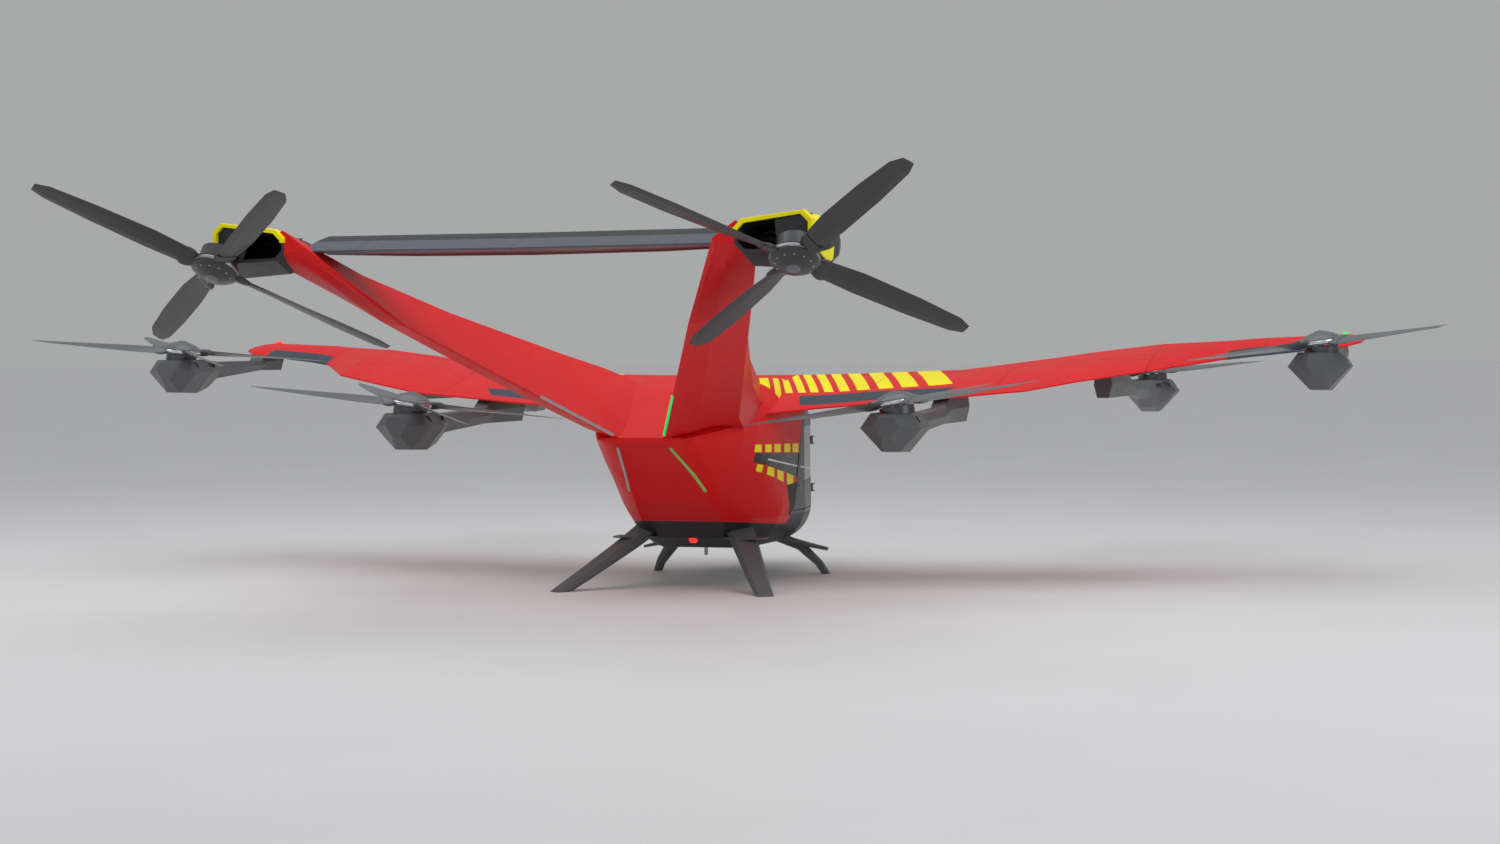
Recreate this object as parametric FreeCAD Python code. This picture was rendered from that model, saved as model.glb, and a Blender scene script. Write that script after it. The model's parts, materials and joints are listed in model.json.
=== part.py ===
import FreeCAD, Part
import math
import os

# Electric vertical take-off aircraft with four seats, in millimetres.
# X points to starboard, Y to the nose and Z up. Z 0 is the floor under the feet.
# Stations along Y are counted from the tip rotors' hubs, and the finished solids are moved
# by ORIGIN_STATION so that the origin lies under the middle of the whole outline.
V = FreeCAD.Vector

ORIGIN_STATION = -523.6

# Fuselage
WALL = 40.0
BELLY_TOP = 660.0
BELLY_BOTTOM = 345.0
CAVITY_AFT = -1000.0
CAVITY_FORE = 2330.0
GLASS_INSET = 6.0
GLASS_THICKNESS = 10.0
FLOOR_THICKNESS = 20.0
DECK_TOP = 2030.0

# The red body ends forward at a slanted edge: station at a height, and its lean
SPLIT_STATION = 30.0
SPLIT_HEIGHT = 540.0
SPLIT_LEAN = 0.362

# Doors
DOOR_SILL = 700.0
DOOR_HEAD = 1600.0
DOOR_FRONT = 1440.0
DOOR_GAP = 8.0
DOOR_FRAME = 70.0
DOOR_WAIST = 980.0
HINGE_STAND_OFF = 18.0
HINGE_HEIGHTS = (860.0, 1360.0)
HINGE_PIN_RADIUS = 8.0
HINGE_PIN_CLEARANCE = 0.05
HINGE_KNUCKLE_RADIUS = 15.0
HINGE_KNUCKLE_HEIGHT = 60.0
HINGE_AXIAL_GAP = 2.0
HINGE_PLATE = 10.0
HINGE_REACH = 64.0

# Windows
SCREEN_SILL = 1000.0
SCREEN_POST = 1545.0
SCREEN_HEAD = 1690.0
SCREEN_CROWN = 1120.0
QUARTER_TIP = -1055.0
QUARTER_TIP_TOP = 1319.0
QUARTER_TIP_HEIGHT = 85.0
QUARTER_TOP = 1268.0
QUARTER_SILL = 1028.0

# Rotors
WING_ROTOR_RADIUS = 1586.0
TAIL_ROTOR_RADIUS = 1601.0
BLADE_COUNT = 4
BLADE_PHASE = 45.0
HUB_RADIUS = 196.0
HUB_BELOW = 26.0
HUB_ABOVE = 30.0
SPINNER_HEIGHT = 74.0
SHAFT_RADIUS = 28.0
SHAFT_CLEARANCE = 0.05
SHAFT_DEPTH = 90.0
MOTOR_RADIUS = 160.0
MOTOR_GAP = 8.0
MOTOR_HEIGHT = 120.0

# Legs
LEG_BURIED = 90.0
SOLE_CUT = 200.0

# Small fittings
LUG_PLATE = 16.0
LUG_RADIUS = 34.0
LUG_BORE_RADIUS = 12.0
LUG_DROP = 46.0
LUG_STATIONS = (-250.0, 980.0)
BEACON_HALF = 44.0
BEACON_HEIGHT = 34.0
BEACON_STATION = -640.0
STRIP_SIZE = 22.0
NAV_LIGHT_HALF = 34.0
NAV_LIGHT_LENGTH = 120.0
NAV_LIGHT_HEIGHT = 30.0
LENS_TAPER = 0.6


def line(a, b):
    return Part.LineSegment(a, b).toShape()


def arc(a, middle, b):
    return Part.Arc(a, middle, b).toShape()


def outline(points):
    return Part.makePolygon(list(points) + [points[0]])


def ruled(wires):
    return Part.makeLoft(wires, True, True)


def box(x0, x1, y0, y1, z0, z1):
    return Part.makeBox(x1 - x0, y1 - y0, z1 - z0, V(x0, y0, z0))


def side_prism(profile, x0, x1):
    """A prism along X whose profile is a list of (station, height)."""
    points = [V(x0, y, z) for y, z in profile]
    return Part.Face(outline(points)).extrude(V(x1 - x0, 0, 0))


def plan_prism(profile, z0, z1):
    """A prism along Z whose profile is a list of (x, station)."""
    points = [V(x, y, z0) for x, y in profile]
    return Part.Face(outline(points)).extrude(V(0, 0, z1 - z0))


def cylinder(radius, height, base, direction=V(0, 0, 1)):
    return Part.makeCylinder(radius, height, base, direction)


def mirrored(shape):
    return shape.mirror(V(0, 0, 0), V(1, 0, 0))


# Fuselage sections: station, greatest half width, top height, half width of the flat top,
# height where the side ends above, height where it ends below, half width of the flat
# bottom, how far the lower corner bulges, bottom height
BODY_SECTIONS = (
    (-2150, 430, 1500, 190, 1490, 1480, 270, 0.20, 1462),
    (-1630, 645, 1660, 330, 1560, 1500, 330, 0.24, 1130),
    (-1320, 740, 1760, 410, 1600, 1470, 370, 0.20, 870),
    (-1050, 785, 1850, 470, 1620, 1380, 410, 0.20, 700),
    (-700, 812, 1950, 540, 1620, 1130, 440, 0.22, 470),
    (-300, 822, DECK_TOP, 600, 1600, 830, 440, 0.30, BELLY_BOTTOM),
    (500, 815, DECK_TOP, 560, 1550, 680, 440, 0.34, BELLY_BOTTOM),
    (1050, 718, 1970, 420, 1450, 700, 400, 0.34, BELLY_BOTTOM),
    (1550, 565, 1800, 290, 1350, 740, 320, 0.34, 410),
    (2000, 385, 1540, 170, 1220, 780, 190, 0.34, 540),
    (2300, 205, 1280, 80, 1120, 830, 90, 0.34, 670),
    (2430, 80, 1110, 25, 1040, 870, 30, 0.34, 780),
)
SHOULDER_BULGE = 0.36


def body_wire(section, inset):
    """One section: flat bottom, bilge arcs, flat sides, shoulder arcs and flat top."""
    y, side, top, crown, shoulder, bilge, keel, bulge, bottom = section
    side = side - inset
    top = top - inset
    bottom = bottom + inset
    crown = min(crown, side * 0.9)
    keel = min(keel, side * 0.9)
    shoulder = min(shoulder, top - 6.0)
    bilge = max(bilge, bottom + 6.0)

    def corner(a, b, bulge, sign):
        middle_x = (a[0] + b[0]) / 2 + bulge * abs(a[0] - b[0]) / 2
        corner_z = a[1] if a[0] < b[0] else b[1]
        middle_z = (a[1] + b[1]) / 2 + bulge * (corner_z - (a[1] + b[1]) / 2)
        ends = [V(sign * p[0], y, p[1]) for p in (a, b)]
        return ends[0], V(sign * middle_x, y, middle_z), ends[1]

    low_keel = (keel, bottom)
    low_side = (side, bilge)
    high_side = (side, shoulder)
    high_crown = (crown, top)
    edges = [
        line(V(-keel, y, bottom), V(keel, y, bottom)),
        arc(*corner(low_keel, low_side, bulge, 1)),
        line(V(side, y, bilge), V(side, y, shoulder)),
        arc(*corner(high_side, high_crown, SHOULDER_BULGE, 1)),
        line(V(crown, y, top), V(-crown, y, top)),
        arc(*corner(high_crown, high_side, SHOULDER_BULGE, -1)),
        line(V(-side, y, shoulder), V(-side, y, bilge)),
        arc(*corner(low_side, low_keel, bulge, -1)),
    ]
    return Part.Wire(edges)


def section_at(y):
    """The body section at any station, between the two rows beside it."""
    for low, high in zip(BODY_SECTIONS, BODY_SECTIONS[1:]):
        if low[0] <= y <= high[0]:
            t = (y - low[0]) / (high[0] - low[0])
            return tuple(a + t * (b - a) for a, b in zip(low, high))
    return BODY_SECTIONS[-1]


def body_solid(inset, aft, fore):
    inner = [row for row in BODY_SECTIONS if aft < row[0] < fore]
    rows = [section_at(aft)] + inner + [section_at(fore)]
    return ruled([body_wire(row, inset) for row in rows])


def split_station(z):
    return SPLIT_STATION + (z - SPLIT_HEIGHT) * SPLIT_LEAN


def door_profile(margin):
    """The door's outline seen from the side, grown by a margin."""
    low = DOOR_SILL - margin
    high = DOOR_HEAD + margin
    front = DOOR_FRONT + margin
    back = DOOR_GAP - margin
    return [
        (split_station(low) + back, low),
        (front, low),
        (front, high),
        (split_station(high) + back, high),
    ]


def door_light_profile():
    low = DOOR_WAIST
    high = DOOR_HEAD - DOOR_FRAME
    front = DOOR_FRONT - DOOR_FRAME
    back = DOOR_GAP + DOOR_FRAME
    return [
        (split_station(low) + back, low),
        (front, low),
        (front, high),
        (split_station(high) + back, high),
    ]


def quarter_profile():
    """The wedge window behind the door, from its aft tip to the slanted edge."""
    return [
        (QUARTER_TIP, QUARTER_TIP_TOP),
        (QUARTER_TIP, QUARTER_TIP_TOP - QUARTER_TIP_HEIGHT),
        (split_station(QUARTER_SILL), QUARTER_SILL),
        (split_station(QUARTER_TOP), QUARTER_TOP),
    ]


def screen_profile():
    fore = BODY_SECTIONS[-1][0] + 100.0
    crown = DECK_TOP + 100.0
    return [
        (SCREEN_POST, SCREEN_SILL),
        (fore, SCREEN_SILL),
        (fore, crown),
        (SCREEN_CROWN - 120.0, crown),
        (SCREEN_CROWN, SCREEN_HEAD),
        (SCREEN_POST, SCREEN_HEAD),
    ]


def hinge_axis():
    return section_at(DOOR_FRONT)[1] + HINGE_STAND_OFF, DOOR_FRONT


def hinge_brackets():
    """Pin and two plates at each hinge, for the starboard front post."""
    x, y = hinge_axis()
    half = HINGE_KNUCKLE_HEIGHT / 2 + HINGE_AXIAL_GAP
    pieces = []
    for z in HINGE_HEIGHTS:
        tall = 2 * (half + HINGE_PLATE)
        pieces.append(cylinder(HINGE_PIN_RADIUS, tall, V(x, y, z - tall / 2)))
        for low in (z - half - HINGE_PLATE, z + half):
            plate = box(x - HINGE_REACH, x, y + DOOR_GAP, y + HINGE_REACH, low, low + HINGE_PLATE)
            pad = cylinder(HINGE_KNUCKLE_RADIUS, HINGE_PLATE, V(x, y, low))
            arm = box(x - HINGE_KNUCKLE_RADIUS, x + HINGE_KNUCKLE_RADIUS, y, y + HINGE_REACH,
                      low, low + HINGE_PLATE)
            pieces += [plate, pad, arm]
    return pieces


def hinge_knuckles():
    """The door's half of each hinge, bored for the pin."""
    x, y = hinge_axis()
    bore = HINGE_PIN_RADIUS + HINGE_PIN_CLEARANCE
    pieces = []
    for z in HINGE_HEIGHTS:
        low = z - HINGE_KNUCKLE_HEIGHT / 2
        barrel = cylinder(HINGE_KNUCKLE_RADIUS, HINGE_KNUCKLE_HEIGHT, V(x, y, low))
        web = box(x - HINGE_REACH, x, y - HINGE_REACH, y - 4.0, low, low + HINGE_KNUCKLE_HEIGHT)
        neck = box(x - HINGE_KNUCKLE_RADIUS, x + HINGE_KNUCKLE_RADIUS, y - HINGE_REACH, y,
                   low, low + HINGE_KNUCKLE_HEIGHT)
        hole = cylinder(bore, HINGE_KNUCKLE_HEIGHT + 10, V(x, y, low - 5))
        pieces.append(barrel.fuse([web, neck]).cut(hole))
    return pieces


def build_fuselage():
    far = 2000.0
    outer = body_solid(0.0, BODY_SECTIONS[0][0], BODY_SECTIONS[-1][0])
    cavity = body_solid(WALL, CAVITY_AFT, CAVITY_FORE)
    wall = outer.cut(cavity)
    low_box = box(-far, far, -far * 2, far * 2, 0, BELLY_TOP)
    split_low = BELLY_TOP
    split_high = DECK_TOP + 200.0
    aft_half = side_prism([
        (-far * 2, split_low), (split_station(split_low), split_low),
        (split_station(split_high), split_high), (-far * 2, split_high)], -far, far)
    fore_half = side_prism([
        (split_station(split_low), split_low), (far * 2, split_low),
        (far * 2, split_high), (split_station(split_high), split_high)], -far, far)

    belly = wall.common(low_box)
    shell = wall.common(aft_half)
    nose = wall.common(fore_half)

    window_outer = body_solid(GLASS_INSET, -1500.0, BODY_SECTIONS[-1][0] - GLASS_INSET)
    window_inner = body_solid(GLASS_INSET + GLASS_THICKNESS, -1510.0,
                              BODY_SECTIONS[-1][0] - GLASS_INSET - GLASS_THICKNESS)
    glazing = window_outer.cut(window_inner)

    parts = {}
    quarter = {}
    for side, x0, x1 in (("right", 0.0, far), ("left", -far, 0.0)):
        hole = side_prism(quarter_profile(), x0, x1)
        shell = shell.cut(hole)
        quarter[side] = glazing.common(hole)
        nose = nose.cut(side_prism(door_profile(DOOR_GAP), x0, x1))
        panel = wall.common(side_prism(door_profile(0.0), x0, x1))
        light = side_prism(door_light_profile(), x0, x1)
        knuckles = hinge_knuckles()
        if side == "left":
            knuckles = [mirrored(piece) for piece in knuckles]
        parts["door_" + side] = panel.cut(light).fuse(knuckles).removeSplitter()
        parts["door_glass_" + side] = glazing.common(light)
        parts["quarter_window_" + side] = quarter[side]
    screen = side_prism(screen_profile(), -far, far)
    nose = nose.cut(screen)
    brackets = hinge_brackets()
    nose = nose.fuse(brackets + [mirrored(piece) for piece in brackets])
    parts["windscreen"] = glazing.common(screen)
    parts["belly_pan"] = belly
    parts["cabin_shell"] = shell
    parts["nose_frame"] = nose.removeSplitter()
    floor_slab = box(-far, far, -far, far * 2, BELLY_TOP - FLOOR_THICKNESS, BELLY_TOP)
    parts["cabin_floor"] = cavity.common(floor_slab)
    return outer, cavity, parts


# Seats: x of the middle, station of the seat's front edge
SEATS = (
    (-300.0, 1010.0),
    (300.0, 1010.0),
    (-330.0, 0.0),
    (330.0, 0.0),
)
SEAT_WIDTH = 440.0
SEAT_DEPTH = 440.0
SEAT_PAN = 900.0
SEAT_SHELL = 24.0
SEAT_PAD = 80.0
SEAT_BACK = 560.0
SEAT_RAKE = 120.0
SOFT_GAP = 0.3
PAD_MARGIN = 14.0
PAD_CHAMFER = 18.0


def seat_profile(front):
    """Side outline of one seat shell: plinth, pan and raked back."""
    back = front - SEAT_DEPTH
    top = SEAT_PAN + SEAT_BACK
    return [
        (front - 60.0, BELLY_TOP),
        (front, SEAT_PAN - SEAT_SHELL),
        (front, SEAT_PAN),
        (back, SEAT_PAN),
        (back - SEAT_RAKE, top),
        (back - SEAT_RAKE - SEAT_SHELL, top),
        (back - SEAT_SHELL, SEAT_PAN - SEAT_SHELL),
        (back + 60.0, BELLY_TOP),
    ]


def build_seats():
    shells = []
    pads = []
    backs = []
    for x, front in SEATS:
        x0 = x - SEAT_WIDTH / 2
        x1 = x + SEAT_WIDTH / 2
        shells.append(side_prism(seat_profile(front), x0, x1))
        back = front - SEAT_DEPTH
        low = SEAT_PAN + SOFT_GAP
        pad = box(x0 + PAD_MARGIN, x1 - PAD_MARGIN, back + SEAT_PAD + 20.0, front - PAD_MARGIN,
                  low, low + SEAT_PAD)
        pads.append(pad.makeChamfer(PAD_CHAMFER, pad.Edges))
        rise = SEAT_BACK - 10.0
        rake = SEAT_RAKE * rise / SEAT_BACK
        foot = back + SOFT_GAP
        face = [
            (foot, low), (foot + SEAT_PAD, low),
            (foot + SEAT_PAD - rake, low + rise), (foot - rake, low + rise)]
        cushion = side_prism(face, x0 + PAD_MARGIN, x1 - PAD_MARGIN)
        backs.append(cushion.makeChamfer(PAD_CHAMFER, cushion.Edges))
    return {"seat_shells": shells, "seat_pads": pads, "seat_backs": backs}


CONSOLE_BACK = 1700.0
CONSOLE_HEIGHT = 1010.0
CONSOLE_HALF = 330.0
BATTERY_HALF = 420.0
BATTERY_AFT = -620.0
BATTERY_FORE = 980.0
BATTERY_HEIGHT = 130.0


def build_inside(cavity):
    fore = BODY_SECTIONS[-1][0]
    console = side_prism([
        (CONSOLE_BACK + 60.0, BELLY_TOP), (CONSOLE_BACK + 40.0, CONSOLE_HEIGHT - 150.0),
        (CONSOLE_BACK, CONSOLE_HEIGHT), (CONSOLE_BACK + 240.0, CONSOLE_HEIGHT - 40.0),
        (fore, CONSOLE_HEIGHT - 120.0), (fore, BELLY_TOP)], -CONSOLE_HALF, CONSOLE_HALF)
    battery = box(-BATTERY_HALF, BATTERY_HALF, BATTERY_AFT, BATTERY_FORE,
                  BELLY_BOTTOM + WALL, BELLY_BOTTOM + WALL + BATTERY_HEIGHT)
    return {
        "instrument_console": console.common(cavity),
        "battery_block": battery.common(cavity),
    }


# Wing sections: x, trailing edge station and height, leading edge station, crest height,
# greatest thickness
WING_SECTIONS = (
    (0, -860, 1660, 1500, 2020, 290),
    (700, -820, 1680, 1500, 2022, 285),
    (1250, -560, 1735, 1550, 2035, 265),
    (2300, -300, 1815, 1660, 2070, 235),
    (3200, -130, 1890, 1780, 2180, 225),
    (3700, 0, 1980, 1850, 2250, 215),
    (4300, 350, 2070, 1980, 2320, 190),
    (4900, 1290, 2175, 2130, 2355, 140),
    (5200, 1500, 2210, 2210, 2380, 125),
    (6080, 1730, 2300, 2420, 2418, 92),
    (6230, 1900, 2340, 2360, 2404, 50),
)
CREST_SHARE = 0.30
LOWER_SHARE = 0.36
NOSE_LIFT = 0.62
EDGE_HALF = 7.0


def wing_wire(row):
    """One wing section: two upper arcs, a nose arc below, a flat lower rear and the edge."""
    x, te_y, te_z, le_y, crest_z, thickness = row
    chord = le_y - te_y
    le_z = te_z + NOSE_LIFT * (crest_z - te_z)
    crest_y = le_y - CREST_SHARE * chord
    lower_y = le_y - LOWER_SHARE * chord
    lower_z = crest_z - thickness
    edge_top = V(x, te_y, te_z + EDGE_HALF)
    edge_low = V(x, te_y, te_z - EDGE_HALF)
    nose = V(x, le_y, le_z)
    crest = V(x, crest_y, crest_z)
    lower = V(x, lower_y, lower_z)
    rear_middle = V(x, (te_y + crest_y) / 2, (te_z + EDGE_HALF + crest_z) / 2 + 0.018 * chord)
    front_middle = V(x, le_y - 0.07 * chord, le_z + 0.70 * (crest_z - le_z))
    under_middle = V(x, le_y - 0.09 * chord, le_z - 0.74 * (le_z - lower_z))
    return Part.Wire([
        arc(edge_top, rear_middle, crest),
        arc(crest, front_middle, nose),
        arc(nose, under_middle, lower),
        line(lower, edge_low),
        line(edge_low, edge_top),
    ])


def wing_row(x):
    """The wing section at any x, between the two rows beside it."""
    for low, high in zip(WING_SECTIONS, WING_SECTIONS[1:]):
        if low[0] <= x <= high[0]:
            t = (x - low[0]) / (high[0] - low[0])
            return tuple(a + t * (b - a) for a, b in zip(low, high))
    return WING_SECTIONS[-1]


def trailing_station(x):
    return wing_row(x)[1]


def underside(x, y):
    """Height of the wing's lower face at a place in plan."""
    te_y, te_z, le_y, crest_z, thickness = wing_row(x)[1:]
    lower_y = le_y - LOWER_SHARE * (le_y - te_y)
    lower_z = crest_z - thickness
    t = (y - te_y) / (lower_y - te_y)
    if t <= 1:
        return te_z + t * (lower_z - te_z)
    nose_z = te_z + NOSE_LIFT * (crest_z - te_z)
    t = (y - lower_y) / (le_y - lower_y)
    return lower_z + t ** 2 * (nose_z - lower_z)


# Trailing edge panels: name, inner x, outer x, chord
EDGE_PANELS = (
    ("flaps", 950.0, 3600.0, 240.0),
    ("ailerons", 4960.0, 5880.0, 210.0),
)
PANEL_SEAT = 0.3


def panel_plan(inner, outer, chord, margin):
    """The plan outline of a trailing edge panel, grown by a margin."""
    stops = [inner - margin]
    stops += [row[0] for row in WING_SECTIONS if inner < row[0] < outer]
    stops += [outer + margin]
    front = [(x, trailing_station(x) + chord + margin) for x in stops]
    back = [(x, trailing_station(x) - 60.0) for x in reversed(stops)]
    return front + back


def build_wings(outer):
    wing = ruled([wing_wire(row) for row in WING_SECTIONS]).cut(outer)
    panels = {}
    for name, inner, outer_x, chord in EDGE_PANELS:
        bottom = 1000.0
        top = 3000.0
        panel = wing.common(plan_prism(panel_plan(inner, outer_x, chord, 0.0), bottom, top))
        wing = wing.cut(plan_prism(panel_plan(inner, outer_x, chord, PANEL_SEAT), bottom, top))
        panels[name] = [panel, mirrored(panel)]
    pieces = sorted(wing.Solids, key=lambda solid: solid.Volume)
    wing = pieces[-1]
    parts = {"wing_right": wing, "wing_left": mirrored(wing)}
    parts.update(panels)
    return parts


# Fin sections: station, trailing edge x and height, lower chine x and height,
# upper ridge x and height
FIN_SECTIONS = (
    (-500, 300, 1700, 620, 1600, 640, 2010),
    (-1100, 260, 1640, 700, 1500, 770, 2150),
    (-1800, 160, 1500, 848, 1675, 930, 2290),
    (-2100, 200, 1480, 957, 1795, 1005, 2358),
    (-3440, 800, 2072, 1446, 2335, 1340, 2660),
    (-4500, 1274, 2541, 1832, 2752, 1680, 2974),
    (-5400, 1781, 3193, 2151, 3116, 1973, 3329),
)
FIN_EDGE = 0.07
FIN_NOSE = 0.16


def fin_wire(row):
    """A blunt trailing edge, a lower chine, a bowed nose and an upper ridge."""
    y, te_x, te_z, chine_x, chine_z, ridge_x, ridge_z = row
    edge = V(te_x, y, te_z)
    chine = V(chine_x, y, chine_z)
    ridge = V(ridge_x, y, ridge_z)
    blunt = edge + (chine - edge) * FIN_EDGE + V(0, 0, -22)
    rise = ridge - chine
    nose = (chine + ridge) * 0.5 + V(rise.z, 0, -rise.x) * FIN_NOSE
    return outline([edge, blunt, chine, nose, ridge])


# Tailplane sections: x, trailing edge station and height, leading edge station,
# crest height, thickness
TAILPLANE_SECTIONS = (
    (0, -5230, 3150, -4400, 3295, 165),
    (1100, -5230, 3153, -4420, 3298, 160),
    (1900, -5190, 3158, -4520, 3298, 140),
)
ELEVATOR_HALF = 1050.0
ELEVATOR_CHORD = 300.0


def build_tail(outer):
    fin = ruled([fin_wire(row) for row in FIN_SECTIONS]).cut(outer)
    fin = sorted(fin.Solids, key=lambda solid: solid.Volume)[-1]
    half = ruled([wing_wire(row) for row in TAILPLANE_SECTIONS])
    plane = half.fuse(mirrored(half)).removeSplitter()
    plane = plane.cut(fin).cut(mirrored(fin))
    plane = sorted(plane.Solids, key=lambda solid: solid.Volume)[-1]
    rear = TAILPLANE_SECTIONS[0][1]
    far = 200.0
    elevator_box = box(-ELEVATOR_HALF, ELEVATOR_HALF, rear - far, rear + ELEVATOR_CHORD,
                       2900, 3500)
    slot = box(-ELEVATOR_HALF - PANEL_SEAT, ELEVATOR_HALF + PANEL_SEAT, rear - far,
               rear + ELEVATOR_CHORD + PANEL_SEAT, 2900, 3500)
    elevator = plane.common(elevator_box)
    return {
        "fin_right": fin,
        "fin_left": mirrored(fin),
        "tailplane": plane.cut(slot),
        "elevator": elevator,
    }


# Rotor stations: name, hub x, station, height, axis x, y, z, radius, on the starboard side
ROTORS = (
    ("tip", 6000.0, 0.0, 2341.0, -0.1253, -0.0192, 0.9919, WING_ROTOR_RADIUS),
    ("inner", 2399.0, -1987.0, 1821.0, -0.1599, 0.0, 0.9871, WING_ROTOR_RADIUS),
    ("forward", 3750.0, 4400.0, 2040.0, -0.0872, 0.0, 0.9962, WING_ROTOR_RADIUS),
    ("tail", 2508.0, -5572.0, 3014.0, 0.0580, -0.5350, -0.8440, TAIL_ROTOR_RADIUS),
)

# Blade stations for a wing rotor: share of the radius, chord, thickness, twist in degrees,
# and how far the section's middle lies behind the blade's own axis
WING_BLADE = (
    (0.060, 86.0, 40.0, 30.0, 0.0),
    (0.170, 150.0, 34.0, 24.0, 6.0),
    (0.360, 186.0, 24.0, 17.0, 10.0),
    (0.640, 158.0, 17.0, 11.0, 8.0),
    (0.900, 96.0, 10.0, 7.0, -4.0),
    (1.000, 34.0, 5.0, 6.0, -26.0),
)
TAIL_BLADE = (
    (0.060, 92.0, 44.0, 32.0, 0.0),
    (0.170, 168.0, 38.0, 26.0, 6.0),
    (0.360, 214.0, 27.0, 19.0, 10.0),
    (0.680, 216.0, 20.0, 12.0, 6.0),
    (0.930, 178.0, 14.0, 8.0, 0.0),
    (1.000, 96.0, 8.0, 7.0, -8.0),
)


def blade_wire(radius, chord, thickness, twist, back, hand):
    """One blade section: seven corners round a cambered foil, turned by the twist."""
    shape = (
        (0.50, 0.00), (0.22, 0.50), (-0.20, 0.42), (-0.50, 0.06), (-0.50, -0.04),
        (-0.10, -0.34), (0.30, -0.40),
    )
    cosine = math.cos(math.radians(twist))
    sine = math.sin(math.radians(twist))
    points = []
    for along, up in shape:
        a = along * chord - back
        b = up * thickness
        points.append(V(radius, hand * (a * cosine - b * sine), a * sine + b * cosine))
    return outline(points)


def build_rotor(radius, blade, hand):
    """Hub, spinner dome, shaft and blades in the rotor's own frame, axis along Z.

    The hand is 1 for blades that lead anticlockwise seen from the dome, and -1 for clockwise.
    """
    hub = cylinder(HUB_RADIUS, HUB_BELOW + HUB_ABOVE, V(0, 0, -HUB_BELOW))
    shaft = cylinder(SHAFT_RADIUS, SHAFT_DEPTH, V(0, 0, -HUB_BELOW - SHAFT_DEPTH))
    dome_radius = (HUB_RADIUS ** 2 + SPINNER_HEIGHT ** 2) / (2 * SPINNER_HEIGHT)
    dome_centre = HUB_ABOVE + SPINNER_HEIGHT - dome_radius
    dome_start = math.degrees(math.asin((dome_radius - SPINNER_HEIGHT) / dome_radius))
    dome = Part.makeSphere(dome_radius, V(0, 0, dome_centre), V(0, 0, 1), dome_start, 90)
    one = ruled([
        blade_wire(share * radius, chord, thickness, twist, back, hand)
        for share, chord, thickness, twist, back in blade])
    blades = []
    for index in range(BLADE_COUNT):
        copy = one.copy()
        copy.rotate(V(0, 0, 0), V(0, 0, 1), BLADE_PHASE + index * 360.0 / BLADE_COUNT)
        blades.append(copy)
    return hub.fuse([shaft, dome] + blades)


def rotor_placement(row):
    name, x, y, z, ax, ay, az, radius = row
    axis = V(ax, ay, az).normalize()
    across = V(1, 0, 0) - axis * ax
    across.normalize()
    turn = FreeCAD.Rotation(across, V(0, 0, 0), axis, "ZXY")
    return FreeCAD.Placement(V(x, y, z), turn)


def build_motor():
    """A drum below the hub, bored for the shaft."""
    top = -HUB_BELOW - MOTOR_GAP
    drum = cylinder(MOTOR_RADIUS, MOTOR_HEIGHT, V(0, 0, top - MOTOR_HEIGHT))
    deep = SHAFT_DEPTH - MOTOR_GAP + 2.0
    bore = cylinder(SHAFT_RADIUS + SHAFT_CLEARANCE, deep, V(0, 0, top - deep))
    return drum.cut(bore)


# Pod sections: distance from the hub towards the wing, half widths at top, chine and keel,
# and heights of top, chine and keel below the hub
POD_SECTIONS = (
    (-350, 70, 110, 45, -120, -195, -310),
    (-185, 190, 288, 85, -92, -225, -440),
    (140, 200, 290, 95, -92, -225, -452),
    (390, 120, 160, 80, -104, -215, -400),
    (640, 78, 104, 60, -120, -195, -300),
)

# Booms: rotor name, direction from the hub to the wing, station where the boom leaves the
# disc, its top height there, station where it meets the wing, end station, bottom height
BOOMS = (
    ("tip", 1, 1640.0, 2230.0, 1760.0, 2150.0, 2120.0),
    ("inner", 1, -330.0, 1735.0, -130.0, 660.0, 1580.0),
    ("forward", -1, 2740.0, 1925.0, 1740.0, 1150.0, 1800.0),
)
# Cooling slots in both flanks of a pod: start and end distance from the hub towards the wing,
# and heights of their top and bottom below the hub
POD_SLOTS = (
    (-150, -70, -120, -175),
    (170, 300, -125, -175),
    (330, 500, -135, -180),
)
SLOT_DEPTH = 36.0
BOOM_BITE = 24.0
BOOM_HALF = 74.0
BOOM_CHINE = 92.0
BOOM_KEEL = 58.0


def pod_wire(x, y, top_half, chine_half, keel_half, top, chine, keel):
    return outline([
        V(x - top_half, y, top), V(x + top_half, y, top), V(x + chine_half, y, chine),
        V(x + keel_half, y, keel), V(x - keel_half, y, keel), V(x - chine_half, y, chine)])


def pod_slots(x, y, z, sense):
    """Pockets that follow the pod's flank, cut to one depth on both sides."""
    bars = []
    for start, end, top, bottom in POD_SLOTS:
        low, high = sorted((y + sense * start, y + sense * end))
        bars.append(box(x - 1000, x + 1000, low, high, z + bottom, z + top))
    core = ruled([
        pod_wire(x, y + sense * along, top_half - SLOT_DEPTH, chine_half - SLOT_DEPTH,
                 keel_half - SLOT_DEPTH, z + top + SLOT_DEPTH, z + chine, z + keel - SLOT_DEPTH)
        for along, top_half, chine_half, keel_half, top, chine, keel in POD_SECTIONS])
    return [piece.cut(core) for piece in bars]


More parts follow.
